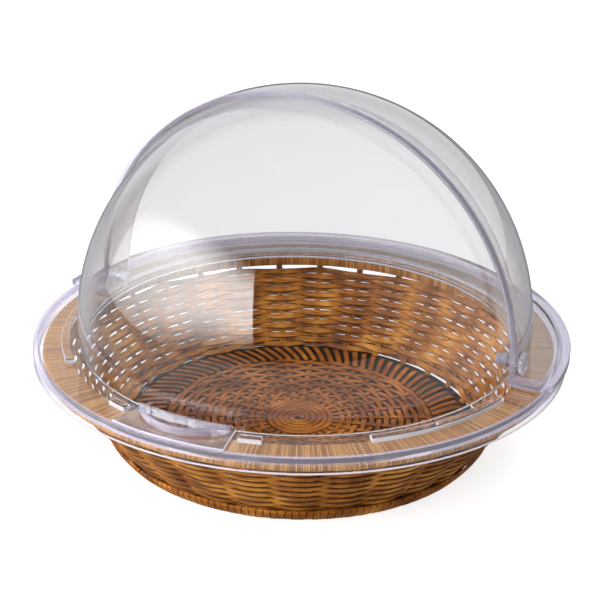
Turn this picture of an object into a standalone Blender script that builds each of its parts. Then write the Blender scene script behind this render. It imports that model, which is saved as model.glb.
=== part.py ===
"""Round woven display basket with a clear roll-top cover.

The origin is on the table under the middle of the basket, with +Z up and the
handle of the lid towards -Y. Lengths are in metres.
"""

import math

import bmesh
import bpy
from mathutils import Matrix, Vector

MM = 0.001

# Whole object
RING_RADIUS = 197.5 * MM
GAP = 0.3 * MM
OVERRUN = 1.0 * MM
MERGE = 0.01 * MM
TURN_STEPS = 48
CORNER_STEPS = 2
FILLET_STEPS = 3
ROUND_STEPS = 4
HANDLE_STEPS = 6
HOOD_STEPS = 10
DOME_STEPS = 11
ARCH_STEPS = 33
PIVOT_STEPS = 16

# Woven wall
WALL_ANGLE = math.radians(54.2)
STAKE_COUNT = 31
STAKE_PHASE = math.radians(88.0)
STAKE_WIDTH = 5.5 * MM
STAKE_THICKNESS = 1.4 * MM
STAKE_FOOT = 0.6 * MM
STRAND_WIDTH = 4.1 * MM
STRAND_THICKNESS = 1.4 * MM
STRAND_GAP = 0.3 * MM
WEAVE_FOOT = 3.0 * MM
WEAVE_OPENING = 6.0 * MM

# Wrapped rim
RIM_TOP = 73.9 * MM
RIM_HEIGHT = 12.5 * MM
RIM_WIDTH = 20.5 * MM
RIM_ROUND = 4.0 * MM
RIM_PLAY = 2.5 * MM
RIM_STAKE_INSET = 7.8 * MM
RIM_HEEL_HEIGHT = 1.6 * MM
RIM_HEEL_SHARE = 0.25
RIM_FOOT_SHARE = 0.6

# Foot border
BORDER_HEIGHT = 10.0 * MM
BORDER_THICKNESS = 2.6 * MM

# Floor
FLOOR_UNDERSIDE = 1.0 * MM
FLOOR_TOP = 4.0 * MM
FLOOR_BORDER_WIDTH = 30.7 * MM
MAT_ROUNDS = 9
MAT_RIDGE = 1.0 * MM
MAT_STEPS = 32
TURNED_IN_COUNT = 93
TURNED_IN_WIDTH = 4.6 * MM
TURNED_IN_HEIGHT = 0.8 * MM
TURNED_IN_MARGIN = 2.0 * MM
TURNED_IN_SLANT = math.radians(22.0)

# Clear ring
RING_PLATE = 2.5 * MM
RING_WIDTH = 37.5 * MM
RING_LIP_WIDTH = 3.5 * MM
RING_LIP = 3.0 * MM
RING_FILLET = 2.0 * MM
RING_ROUND = 1.5 * MM
RING_SKIRT = 6.5 * MM
RIB_INSET = 23.0 * MM
RIB_WIDTH = 6.0 * MM
RIB_HEIGHT = 3.5 * MM
LONG_RIB = (math.radians(-48.0), math.radians(-12.0))
SHORT_RIB = (math.radians(-76.0), math.radians(-71.0))

# Rear dome
DOME_INSET = 22.5 * MM
DOME_WALL = 3.0 * MM
DOME_FRONT = -14.0 * MM
ARCH_DEPTH = 3.4 * MM
ARCH_PROUD = 1.5 * MM
FLANGE_PLATE = 2.5 * MM
FLANGE_LIP = 5.0 * MM
FLANGE_PROUD = 1.9 * MM
FLANGE_ROUND = 1.5 * MM

# Front lid
LID_SPACE = 4.0 * MM
LID_WALL = 2.5 * MM
LID_REAR = 12.0 * MM
HANDLE_HALF_ANGLE = math.radians(12.5)
HANDLE_PLATE = 2.0 * MM
HOOD_INSET = 4.0 * MM
HOOD_DEPTH = 17.0 * MM
HOOD_HEIGHT = 7.0 * MM
HOOD_WALL = 1.6 * MM
HOOD_ROUND = 2.0 * MM
HOOD_END = 2.5 * MM

# Pivots
PIVOT_RISE = 13.0 * MM
PAD_PROUD = 0.6 * MM
DOME_PAD_RADIUS = 8.2 * MM
LID_PAD_RADIUS = 7.0 * MM
PIN_RADIUS = 3.0 * MM
PIN_HEAD_RADIUS = 7.8 * MM
PIN_HEAD = 3.0 * MM
PIN_ROUND = 1.0 * MM
LID_HOLE_CLEARANCE = 0.4 * MM
WASHER_RADIUS = 6.0 * MM
KNOB_RADIUS = 4.5 * MM
KNOB_LENGTH = 8.0 * MM
KNOB_CAP = 2.0 * MM

# Heights and radii that follow from the sizes above
RING_BORE_RADIUS = RING_RADIUS - RING_WIDTH
LIP_INNER_RADIUS = RING_RADIUS - RING_LIP_WIDTH
RIM_RADIUS = LIP_INNER_RADIUS - RIM_PLAY
RIM_INNER_RADIUS = RIM_RADIUS - RIM_WIDTH
RIM_UNDERSIDE = RIM_TOP - RIM_HEIGHT
WALL_LEAN = 1 / math.tan(WALL_ANGLE)
WALL_FOOT_RADIUS = RIM_INNER_RADIUS + RIM_STAKE_INSET - WALL_LEAN * RIM_UNDERSIDE
STRAND_PITCH = (STRAND_WIDTH + STRAND_GAP) * math.sin(WALL_ANGLE)
WEAVE_TURNS = math.floor((RIM_UNDERSIDE - WEAVE_FOOT - WEAVE_OPENING) / STRAND_PITCH)
MAT_RADIUS = WALL_FOOT_RADIUS - FLOOR_BORDER_WIDTH
RING_UNDERSIDE = RIM_TOP + GAP
RING_TOP = RING_UNDERSIDE + RING_PLATE
COVER_SEAT = RING_TOP + GAP
PIVOT_HEIGHT = COVER_SEAT + PIVOT_RISE
DOME_RADIUS = LIP_INNER_RADIUS - DOME_INSET
DOME_INNER_RADIUS = DOME_RADIUS - DOME_WALL
LID_RADIUS = DOME_INNER_RADIUS - LID_SPACE
LID_INNER_RADIUS = LID_RADIUS - LID_WALL


def clear_scene():
    for item in list(bpy.data.objects):
        bpy.data.objects.remove(item, do_unlink=True)


def new_collection(name):
    collection = bpy.data.collections.new(name)
    bpy.context.scene.collection.children.link(collection)
    return collection


def new_material(name, colour, roughness, transmission=0.0):
    material = bpy.data.materials.new(name)
    material.use_nodes = True
    shader = material.node_tree.nodes["Principled BSDF"]
    shader.inputs["Base Color"].default_value = (*colour, 1.0)
    shader.inputs["Roughness"].default_value = roughness
    shader.inputs["Transmission Weight"].default_value = transmission
    return material


def add_object(name, mesh, collection):
    item = bpy.data.objects.new(name, mesh)
    collection.objects.link(item)
    return item


def mesh_of(item):
    """The evaluated mesh of an object with its own matrix applied."""
    bpy.context.view_layer.update()
    graph = bpy.context.evaluated_depsgraph_get()
    mesh = bpy.data.meshes.new_from_object(item.evaluated_get(graph), depsgraph=graph)
    mesh.transform(item.matrix_world)
    return mesh


def merged(mesh):
    work = bmesh.new()
    work.from_mesh(mesh)
    bmesh.ops.remove_doubles(work, verts=work.verts, dist=MERGE)
    bmesh.ops.recalc_face_normals(work, faces=work.faces)
    work.to_mesh(mesh)
    work.free()
    return mesh


def realised(name, item, collection):
    """Replaces an object by its evaluated mesh under a new name."""
    mesh = merged(mesh_of(item))
    bpy.data.objects.remove(item, do_unlink=True)
    return add_object(name, mesh, collection)


def arc(centre, radius, start, end, steps):
    """Points on an arc of a (radius, height) or (x, y) plane, both ends included."""
    return [
        (
            centre[0] + radius * math.cos(start + (end - start) * step / steps),
            centre[1] + radius * math.sin(start + (end - start) * step / steps),
        )
        for step in range(steps + 1)
    ]


def turned(name, outline, collection, steps=TURN_STEPS, closed=True):
    """A solid turned about Z from an outline of (radius, height) points, drawn clockwise."""
    count = len(outline)
    edges = [(index, (index + 1) % count) for index in range(count if closed else count - 1)]
    mesh = bpy.data.meshes.new(name)
    mesh.from_pydata([(radius, 0, height) for radius, height in outline], edges, [])
    item = add_object(name, mesh, collection)
    screw = item.modifiers.new("Turn", "SCREW")
    screw.steps = steps
    screw.render_steps = steps
    screw.use_merge_vertices = True
    screw.merge_threshold = MERGE
    return realised(name, item, collection)


def extruded(name, outline, depth, collection):
    """A plate of the outline in XY, centred on Z = 0."""
    curve = bpy.data.curves.new(name, "CURVE")
    curve.dimensions = "2D"
    curve.fill_mode = "BOTH"
    curve.extrude = depth / 2
    spline = curve.splines.new("POLY")
    spline.points.add(len(outline) - 1)
    for point, (x, y) in zip(spline.points, outline):
        point.co = (x, y, 0, 1)
    spline.use_cyclic_u = True
    return realised(name, add_object(name, curve, collection), collection)


def place(item, location, rotation=(0, 0, 0)):
    item.location = location
    item.rotation_euler = rotation
    return item


def combine(item, others, operation):
    """Adds or cuts each of the others by a Boolean and keeps the result as the object's mesh."""
    for other in others:
        boolean = item.modifiers.new(operation.title(), "BOOLEAN")
        boolean.operation = operation
        boolean.solver = "EXACT"
        boolean.object = other
        item.data = merged(mesh_of(item))
        item.modifiers.clear()
        bpy.data.objects.remove(other, do_unlink=True)
    return item


def finish(item, material, smooth=None):
    item.data.materials.clear()
    item.data.materials.append(material)
    item.data.shade_flat()
    if smooth is not None:
        item.data.shade_smooth()
        item.data.set_sharp_from_angle(angle=smooth)
    return item


def wall_radius(height):
    """Radius of the middle of the stakes at a height."""
    return WALL_FOOT_RADIUS + WALL_LEAN * height


def level(thickness):
    """Horizontal width of a layer of this thickness that lies along the wall."""
    return thickness / math.sin(WALL_ANGLE)


def weave_offsets():
    """How far the strand's middle stands outside and inside the stakes, measured level."""
    seat = level(STAKE_THICKNESS / 2 + GAP + STRAND_THICKNESS / 2)
    spacing = 2 * math.pi * WALL_FOOT_RADIUS / STAKE_COUNT
    both = 2 * seat / (1 - STAKE_WIDTH / spacing)
    chord = math.tan(math.pi / STAKE_COUNT)
    outside = seat + STAKE_WIDTH / 2 * (both / spacing + chord)
    inside = seat + STAKE_WIDTH / 2 * (both / spacing - chord)
    return outside, inside


def weave_outside():
    return weave_offsets()[0] + level(STRAND_THICKNESS / 2)


def weave_inside():
    return weave_offsets()[1] + level(STRAND_THICKNESS / 2)


def rim_outline():
    """Clockwise section of the wrapped rim, rounded outside and tapered underneath."""
    shoulder = (RIM_RADIUS - RIM_ROUND, RIM_TOP - RIM_ROUND)
    heel_top = RIM_UNDERSIDE + RIM_HEEL_HEIGHT
    return [
        (RIM_INNER_RADIUS, RIM_TOP),
        *arc(shoulder, RIM_ROUND, math.radians(90), math.radians(-30), ROUND_STEPS),
        (RIM_INNER_RADIUS + RIM_FOOT_SHARE * RIM_WIDTH, heel_top),
        (RIM_INNER_RADIUS + RIM_HEEL_SHARE * RIM_WIDTH, RIM_UNDERSIDE),
        (RIM_INNER_RADIUS, heel_top),
    ]


def make_stakes(collection, material):
    half = level(STAKE_THICKNESS) / 2
    top = RIM_UNDERSIDE - GAP
    for index in range(STAKE_COUNT):
        name = f"stake_{index + 1:02d}"
        outline = [
            (wall_radius(STAKE_FOOT) - half, STAKE_FOOT),
            (wall_radius(STAKE_FOOT) + half, STAKE_FOOT),
            (wall_radius(top) + half, top),
            (wall_radius(top) - half, top),
        ]
        stake = extruded(name, outline, STAKE_WIDTH, collection)
        angle = STAKE_PHASE + 2 * math.pi * index / STAKE_COUNT
        place(stake, (0, 0, 0), (math.pi / 2, 0, angle))
        finish(stake, material)


def make_weaver(collection, material):
    """One unbroken strand: with an odd number of stakes each turn goes over what the last went under."""
    outside, inside = weave_offsets()
    climb = STRAND_PITCH / STAKE_COUNT
    section = bpy.data.curves.new("strand_section", "CURVE")
    section.dimensions = "2D"
    corners = section.splines.new("POLY")
    corners.points.add(3)
    for point, (across, through) in zip(corners.points, ((-1, -1), (1, -1), (1, 1), (-1, 1))):
        point.co = (across * STRAND_WIDTH / 2, through * STRAND_THICKNESS / 2, 0, 1)
    corners.use_cyclic_u = True
    section_item = add_object("strand_section", section, collection)

    curve = bpy.data.curves.new("weaver", "CURVE")
    curve.dimensions = "3D"
    curve.twist_mode = "Z_UP"
    curve.bevel_mode = "OBJECT"
    curve.bevel_object = section_item
    curve.use_fill_caps = True
    spline = curve.splines.new("POLY")
    spline.points.add(WEAVE_TURNS * STAKE_COUNT)
    for crossing, point in enumerate(spline.points):
        height = WEAVE_FOOT + climb * crossing
        side = -inside if crossing % 2 else outside
        angle = STAKE_PHASE + 2 * math.pi * crossing / STAKE_COUNT
        radius = wall_radius(height) + side
        point.co = (radius * math.cos(angle), radius * math.sin(angle), height, 1)
        point.tilt = -WALL_ANGLE
    weaver = realised("weaver", add_object("weaver", curve, collection), collection)
    bpy.data.objects.remove(section_item, do_unlink=True)
    finish(weaver, material)


def make_rim(collection, material):
    finish(turned("rim", rim_outline(), collection), material, math.radians(50))


def make_foot_border(collection, material):
    inner = weave_outside() + level(GAP)
    outer = inner + level(BORDER_THICKNESS)
    outline = [
        (wall_radius(BORDER_HEIGHT) + outer, BORDER_HEIGHT),
        (wall_radius(0) + outer, 0),
        (wall_radius(0) + inner, 0),
        (wall_radius(BORDER_HEIGHT) + inner, BORDER_HEIGHT),
    ]
    finish(turned("foot_border", outline, collection), material, math.radians(30))


def make_floor_mat(collection, material):
    """The mat's rounds of weaving are ridges about its centre."""
    pitch = MAT_RADIUS / (MAT_ROUNDS + 1 / 2)
    outline = [(0, FLOOR_TOP)]
    for index in range(MAT_ROUNDS):
        valley = pitch * (index + 1 / 2)
        outline.append((valley, FLOOR_TOP - MAT_RIDGE))
        outline.append((valley + pitch / 2, FLOOR_TOP))
    outline += [
        (MAT_RADIUS, FLOOR_TOP - MAT_RIDGE),
        (MAT_RADIUS, FLOOR_UNDERSIDE),
        (0, FLOOR_UNDERSIDE),
    ]
    mat = turned("floor_mat", outline, collection, MAT_STEPS, closed=False)
    finish(mat, material, math.radians(60))


def make_floor_border(collection, material):
    """The stakes' ends, turned in over a ring between the mat and the wall."""
    inner = MAT_RADIUS + GAP
    reach = weave_inside() + level(GAP)
    low = FLOOR_TOP - MAT_RIDGE
    outline = [
        (wall_radius(low) - reach, low),
        (wall_radius(FLOOR_UNDERSIDE) - reach, FLOOR_UNDERSIDE),
        (inner, FLOOR_UNDERSIDE),
        (inner, low),
    ]
    border = turned("floor_border", outline, collection)
    start = inner + TURNED_IN_MARGIN
    end = wall_radius(low) - reach - TURNED_IN_MARGIN
    strands = turned_in_strands(start, end, low, collection)
    finish(combine(border, [strands], "UNION"), material)


def turned_in_strands(start, end, low, collection):
    """Slanted bars round the floor border as one mesh."""
    middle = (start + end) / 2
    length = (end - start) / math.cos(TURNED_IN_SLANT) - TURNED_IN_WIDTH
    bottom = low - TURNED_IN_HEIGHT
    work = bmesh.new()
    for index in range(TURNED_IN_COUNT):
        angle = 2 * math.pi * index / TURNED_IN_COUNT
        bar = bmesh.ops.create_cube(work, size=1)["verts"]
        bmesh.ops.scale(work, vec=(length, TURNED_IN_WIDTH, 2 * TURNED_IN_HEIGHT), verts=bar)
        for vert in bar:
            turn_to(vert, TURNED_IN_SLANT, 0, 0)
            turn_to(vert, angle, middle, bottom + TURNED_IN_HEIGHT)
    mesh = bpy.data.meshes.new("turned_in_strands")
    work.to_mesh(mesh)
    work.free()
    return add_object("turned_in_strands", mesh, collection)


def turn_to(vert, angle, out, up):
    """Moves a vertex out and up, then turns it about Z."""
    x, y, z = vert.co
    x += out
    vert.co = (
        x * math.cos(angle) - y * math.sin(angle),
        x * math.sin(angle) + y * math.cos(angle),
        z + up,
    )


def ring_outline():
    """Clockwise section of the clear ring: plate, upturned lip and skirt."""
    lip_top = RING_TOP + RING_LIP
    foot = RING_UNDERSIDE - RING_SKIRT
    shoulder = (RING_RADIUS - RING_ROUND, lip_top - RING_ROUND)
    hollow = (LIP_INNER_RADIUS - RING_FILLET, RING_TOP + RING_FILLET)
    return [
        (LIP_INNER_RADIUS, lip_top),
        *arc(shoulder, RING_ROUND, math.radians(90), 0, CORNER_STEPS),
        (RING_RADIUS, foot),
        (LIP_INNER_RADIUS, foot),
        (LIP_INNER_RADIUS, RING_UNDERSIDE),
        (RING_BORE_RADIUS, RING_UNDERSIDE),
        (RING_BORE_RADIUS, RING_TOP),
        *arc(hollow, RING_FILLET, math.radians(-90), 0, FILLET_STEPS),
    ]


def sector(inner, outer, start, end, steps):
    """Outline of a ring sector in XY."""
    return arc((0, 0), outer, start, end, steps) + arc((0, 0), inner, end, start, steps)


def make_base_ring(collection, material):
    """The ribs stand beside the lid's edge, a long and a short one on each side of the handle."""
    ring = turned("base_ring", ring_outline(), collection)
    inner = LIP_INNER_RADIUS - RIB_INSET
    ribs = []
    for start, end in (LONG_RIB, SHORT_RIB):
        for first, last in ((start, end), (-math.pi - end, -math.pi - start)):
            steps = max(2, round(TURN_STEPS * (last - first) / (2 * math.pi)))
            outline = sector(inner, inner + RIB_WIDTH, first, last, steps)
            rib = extruded("rib", outline, RIB_HEIGHT + RING_PLATE / 2, collection)
            middle = RING_TOP + (RIB_HEIGHT - RING_PLATE / 2) / 2
            ribs.append(place(rib, (0, 0, middle)))
    finish(combine(ring, ribs, "UNION"), material, math.radians(35))


def shell_arc(radius, edge_height, downward):
    """Dome outline from the crown to its edge, with a point level with the pivots."""
    centre = (0, PIVOT_HEIGHT)
    low = math.asin((edge_height - PIVOT_HEIGHT) / radius)
    points = arc(centre, radius, math.radians(90), 0, DOME_STEPS)
    points += arc(centre, radius, low, low, 1)[:1]
    points[0] = (0, points[0][1])
    return points if downward else points[::-1]


def flange_outline():
    """Clockwise section of the rear dome and its half flange, from the crown down and back up."""
    flange_top = COVER_SEAT + FLANGE_PLATE
    lip_top = flange_top + FLANGE_LIP
    outer = RING_RADIUS + GAP + FLANGE_PROUD
    wall = LIP_INNER_RADIUS - GAP - FLANGE_PLATE
    hollow = (wall - FLANGE_LIP, lip_top)
    shoulder = (outer - FLANGE_ROUND, lip_top - FLANGE_ROUND)
    under_hollow = (LIP_INNER_RADIUS - RING_FILLET, RING_TOP + RING_FILLET)
    return [
        *shell_arc(DOME_RADIUS, flange_top, True),
        *arc(hollow, FLANGE_LIP, math.radians(-90), 0, ROUND_STEPS),
        *arc(shoulder, FLANGE_ROUND, math.radians(90), 0, CORNER_STEPS),
        (outer, RING_TOP + RING_FILLET),
        (RING_RADIUS + GAP, RING_TOP + RING_FILLET),
        (RING_RADIUS + GAP, lip_top - FLANGE_PLATE),
        (LIP_INNER_RADIUS - GAP, lip_top - FLANGE_PLATE),
        *arc(under_hollow, RING_FILLET - GAP, 0, math.radians(-90), FILLET_STEPS),
        *shell_arc(DOME_INNER_RADIUS, COVER_SEAT, False),
    ]


def arch_outline():
    """Outline in XZ of the thick arch along the dome's front edge, with a fin at each end."""
    flange_top = COVER_SEAT + FLANGE_PLATE
    fin_top = flange_top + FLANGE_LIP
    fin_reach = math.sqrt(RING_RADIUS**2 - DOME_FRONT**2) + FLANGE_PROUD
    fin_step = math.sqrt((LIP_INNER_RADIUS - RING_FILLET) ** 2 - DOME_FRONT**2) - 2 * RING_FILLET
    lip_clear = RING_TOP + RING_LIP + 2 * GAP
    outer = math.sqrt(DOME_RADIUS**2 - DOME_FRONT**2) + ARCH_PROUD
    inner = math.sqrt(DOME_INNER_RADIUS**2 - DOME_FRONT**2)
    outer_start = math.asin((fin_top - PIVOT_HEIGHT) / outer)
    inner_start = math.asin((COVER_SEAT - PIVOT_HEIGHT) / inner)
    centre = (0, PIVOT_HEIGHT)
    right_fin = [
        (fin_step, COVER_SEAT),
        (fin_step + 2 * RING_FILLET, lip_clear),
        (fin_reach, lip_clear),
        (fin_reach, fin_top),
    ]
    left_fin = [(-x, z) for x, z in reversed(right_fin)]
    return [
        *right_fin,
        *arc(centre, outer, outer_start, math.pi - outer_start, ARCH_STEPS),
        *left_fin,
        *arc(centre, inner, math.pi - inner_start, inner_start, ARCH_STEPS),
    ]


def block(name, low, high, collection):
    """A cutter box between two corners."""
    outline = [(low[0], low[1]), (high[0], low[1]), (high[0], high[1]), (low[0], high[1])]
    box = extruded(name, outline, high[2] - low[2], collection)
    return place(box, (0, 0, (low[2] + high[2]) / 2))


def rod(name, radius, start, end, collection):
    """A round bar along X at the pivots' height."""
    outline = [(0, end), (radius, end), (radius, start), (0, start)]
    bar = turned(name, outline, collection, PIVOT_STEPS, closed=False)
    return place(bar, (0, 0, PIVOT_HEIGHT), (0, math.pi / 2, 0))


def pivot_pads(radius, start, end, collection):
    """A moulded pad on each side, from one distance off the middle to another."""
    return [
        rod("right_pad", radius, start, end, collection),
        rod("left_pad", radius, -end, -start, collection),
    ]


def make_rear_dome(collection, cutters, material):
    dome = turned("rear_dome", flange_outline(), collection, closed=False)
    reach = RING_RADIUS + DOME_RADIUS
    front = DOME_FRONT + ARCH_DEPTH / 2
    low, high = (-reach, -reach, 0), (reach, front, PIVOT_HEIGHT + reach)
    combine(dome, [block("front_cutter", low, high, cutters)], "DIFFERENCE")
    arch = extruded("arch", arch_outline(), ARCH_DEPTH, cutters)
    place(arch, (0, DOME_FRONT + ARCH_DEPTH / 2, 0), (math.pi / 2, 0, 0))
    pads = pivot_pads(
        DOME_PAD_RADIUS, DOME_INNER_RADIUS - PAD_PROUD, DOME_RADIUS + PAD_PROUD, cutters
    )
    combine(dome, [arch, *pads], "UNION")
    hole = rod("pivot_cutter", PIN_RADIUS + GAP, -reach, reach, cutters)
    combine(dome, [hole], "DIFFERENCE")
    finish(dome, material, math.radians(30))


def lid_rear_outline():
    """Outline in YZ of what is cut behind the lid, round the hinge corner and up the rear edge."""
    radius = PIVOT_RISE - GAP
    reach = DOME_RADIUS
    corner = -math.acos(LID_REAR / radius)
    return [
        (0, -reach),
        *arc((0, 0), radius, math.radians(-90), corner, HANDLE_STEPS),
        (LID_REAR, reach + OVERRUN),
        (reach, reach + OVERRUN),
        (reach, -reach),
    ]


def make_handle(collection, cutters):
    """The tab over the ring, with a crescent hood that is open underneath."""
    reach = LIP_INNER_RADIUS - RING_FILLET
    edge = math.sqrt(LID_RADIUS**2 - PIVOT_RISE**2) - LID_WALL / 2
    start = math.radians(-90) - HANDLE_HALF_ANGLE
    end = math.radians(-90) + HANDLE_HALF_ANGLE
    outline = sector(edge, reach, start, end, HANDLE_STEPS)
    tab = extruded("tab", outline, HANDLE_PLATE, collection)
    place(tab, (0, 0, COVER_SEAT + HANDLE_PLATE / 2))
    mesh_in_place(tab)
    hood = extruded("hood", crescent(0), HOOD_HEIGHT, cutters)
    place(hood, (0, 0, COVER_SEAT + HOOD_HEIGHT / 2))
    combine(tab, [hood], "UNION")
    hollow_height = HOOD_HEIGHT - HOOD_WALL
    hollow = extruded("hollow", crescent(HOOD_WALL), hollow_height + OVERRUN, cutters)
    place(hollow, (0, 0, COVER_SEAT + (hollow_height - OVERRUN) / 2))
    return combine(tab, [hollow], "DIFFERENCE")


def mesh_in_place(item):
    """Moves an object's placing into its mesh."""
    bpy.context.view_layer.update()
    item.data.transform(item.matrix_world)
    item.matrix_world.identity()


def crescent(inset):
    """Outline in XY of the hood, drawn in by an inset on all sides."""
    inner = LID_RADIUS + HOOD_INSET + inset
    width = HOOD_DEPTH - 2 * inset
    half = HANDLE_HALF_ANGLE - (HOOD_END + inset) / inner
    middle = math.radians(-90)
    outer = []
    for step in range(HOOD_STEPS + 1):
        share = 2 * step / HOOD_STEPS - 1
        radius = inner + HOOD_ROUND + (width - HOOD_ROUND) * math.cos(share * math.pi / 2)
        angle = middle + share * half
        outer.append((radius * math.cos(angle), radius * math.sin(angle)))
    return outer + arc((0, 0), inner, middle + half, middle - half, HANDLE_STEPS)


def make_front_lid(collection, cutters, material):
    outline = [
        *shell_arc(LID_RADIUS, COVER_SEAT, True),
        *shell_arc(LID_INNER_RADIUS, COVER_SEAT, False),
    ]
    lid = turned("front_lid", outline, collection, closed=False)
    pads = pivot_pads(LID_PAD_RADIUS, LID_INNER_RADIUS - PAD_PROUD, LID_RADIUS + PAD_PROUD, cutters)
    combine(lid, pads, "UNION")
    rear = extruded("rear_cutter", lid_rear_outline(), 2 * LID_RADIUS + 2 * OVERRUN, cutters)
    place(rear, (0, 0, PIVOT_HEIGHT), (math.pi / 2, 0, math.pi / 2))
    hole_radius = PIN_RADIUS + LID_HOLE_CLEARANCE
    hole = rod("pivot_cutter", hole_radius, -DOME_RADIUS, DOME_RADIUS, cutters)
    combine(lid, [rear, hole], "DIFFERENCE")
    combine(lid, [make_handle(collection, cutters)], "UNION")
    finish(lid, material, math.radians(30))
    set_origin(lid, (0, 0, PIVOT_HEIGHT))


def set_origin(item, point):
    """Puts an object's origin at a point and leaves its shape where it is."""
    mesh_in_place(item)
    item.data.transform(Matrix.Translation(-Vector(point)))
    item.location = point


def turned_across(name, outline, side, collection):
    """A small piece turned about the pivots' axis from (radius, distance from the middle) points."""
    piece = turned(name, outline, collection, PIVOT_STEPS, closed=outline[0][0] > 0)
    return place(piece, (0, 0, PIVOT_HEIGHT), (0, side * math.pi / 2, 0))


def make_pivot(side_name, side, collection, pin_material, cap_material):
    """Pin from outside the dome to the inner knob, with a washer between the shells."""
    head_face = DOME_RADIUS + PAD_PROUD + GAP
    knob_face = LID_INNER_RADIUS - PAD_PROUD - GAP
    knob_end = knob_face - KNOB_LENGTH
    pin_end = knob_end + KNOB_CAP + GAP
    pin = [
        (0, head_face + PIN_HEAD),
        (PIN_HEAD_RADIUS - PIN_ROUND, head_face + PIN_HEAD),
        (PIN_HEAD_RADIUS, head_face + PIN_HEAD - PIN_ROUND),
        (PIN_HEAD_RADIUS, head_face),
        (PIN_RADIUS, head_face),
        (PIN_RADIUS, pin_end),
        (0, pin_end),
    ]
    washer_outer = DOME_INNER_RADIUS - PAD_PROUD - GAP
    washer_inner = LID_RADIUS + PAD_PROUD + GAP
    washer = [
        (PIN_RADIUS + GAP, washer_outer),
        (WASHER_RADIUS, washer_outer),
        (WASHER_RADIUS, washer_inner),
        (PIN_RADIUS + GAP, washer_inner),
    ]
    knob = [
        (0, pin_end - GAP),
        (PIN_RADIUS + GAP, pin_end - GAP),
        (PIN_RADIUS + GAP, knob_face),
        (KNOB_RADIUS, knob_face),
        (KNOB_RADIUS, knob_end + PIN_ROUND),
        (KNOB_RADIUS - PIN_ROUND, knob_end),
        (0, knob_end),
    ]
    smooth = math.radians(30)
    finish(turned_across(f"pivot_pin_{side_name}", pin, side, collection), pin_material, smooth)
    finish(turned_across(f"pivot_washer_{side_name}", washer, side, collection), cap_material, smooth)
    finish(turned_across(f"pivot_knob_{side_name}", knob, side, collection), cap_material, smooth)


def main():
    clear_scene()
    parts = new_collection("round_roll_top_basket")
    cutters = new_collection("cutters")
    cutters.hide_render = True
    strand = new_material("woven_strand", (0.42, 0.20, 0.07), 0.5)
    rim_strand = new_material("rim_strand", (0.55, 0.33, 0.15), 0.5)
    clear = new_material("clear_plastic", (0.93, 0.94, 0.97), 0.05, 0.9)
    pin_clear = new_material("pin_plastic", (0.85, 0.87, 0.92), 0.15, 0.6)
    make_stakes(parts, strand)
    make_weaver(parts, strand)
    make_rim(parts, rim_strand)
    make_foot_border(parts, strand)
    make_floor_mat(parts, strand)
    make_floor_border(parts, strand)
    make_base_ring(parts, clear)
    make_rear_dome(parts, cutters, clear)
    make_front_lid(parts, cutters, clear)
    for side_name, side in (("right", 1), ("left", -1)):
        make_pivot(side_name, side, parts, pin_clear, pin_clear)


main()
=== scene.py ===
"""Looks of the round woven display basket with a clear roll-top cover.

The origin is on the table under the middle of the basket, with +Z up and the
handle of the lid towards -Y. Lengths are in metres.
"""

from __future__ import annotations

import logging
import math
import random
from collections.abc import Callable, Sequence
from dataclasses import dataclass, field
from enum import Enum

import bpy
from mathutils import Matrix, Vector

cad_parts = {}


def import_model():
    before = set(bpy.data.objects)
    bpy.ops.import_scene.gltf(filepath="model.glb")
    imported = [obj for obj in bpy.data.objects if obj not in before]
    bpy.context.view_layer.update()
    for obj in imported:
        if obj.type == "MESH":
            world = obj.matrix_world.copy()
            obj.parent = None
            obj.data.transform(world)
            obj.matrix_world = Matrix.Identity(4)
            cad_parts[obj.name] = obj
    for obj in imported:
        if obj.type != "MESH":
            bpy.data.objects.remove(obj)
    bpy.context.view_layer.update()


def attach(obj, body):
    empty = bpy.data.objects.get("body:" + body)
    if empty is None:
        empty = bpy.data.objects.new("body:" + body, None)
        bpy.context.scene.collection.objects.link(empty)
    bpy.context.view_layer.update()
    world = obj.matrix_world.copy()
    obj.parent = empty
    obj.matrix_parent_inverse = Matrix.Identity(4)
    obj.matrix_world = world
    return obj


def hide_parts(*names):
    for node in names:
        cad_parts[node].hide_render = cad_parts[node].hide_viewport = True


MM = 0.001
# Corners that are nearer to each other than this become one.
MERGE = 0.01 * MM
# A face whose middle is nearer to a plane than this counts as lying on it.
NEAR = 0.1 * MM
# Steps of a full turn on the small round pieces.
ROUND_STEPS = 48

Point = tuple[float, float]
Links = dict[str | int, bpy.types.NodeSocket]

log = logging.getLogger("roll_top_basket")


class Body(Enum):
    """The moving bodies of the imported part."""

    BASKET = "basket"
    COVER = "cover"
    LID = "lid"


class Slot(Enum):
    """The record's material slots."""

    WOVEN = "woven_strand"
    RIM = "rim_strand"
    CLEAR = "clear_plastic"
    PIN = "pin_plastic"


class Side(Enum):
    """The two ends of the pivots' axis."""

    RIGHT = 1
    LEFT = -1


class Face(Enum):
    """Which of a clear piece's finishes a face has; the values are its material slots."""

    WALL = 0
    # Painted light: the pale lilac, faintly milky finish of thick edges.
    EDGE = 1
    # A painted highlight: pale, less clear faces where the plastic shows a white line.
    BRIGHT = 2


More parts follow.
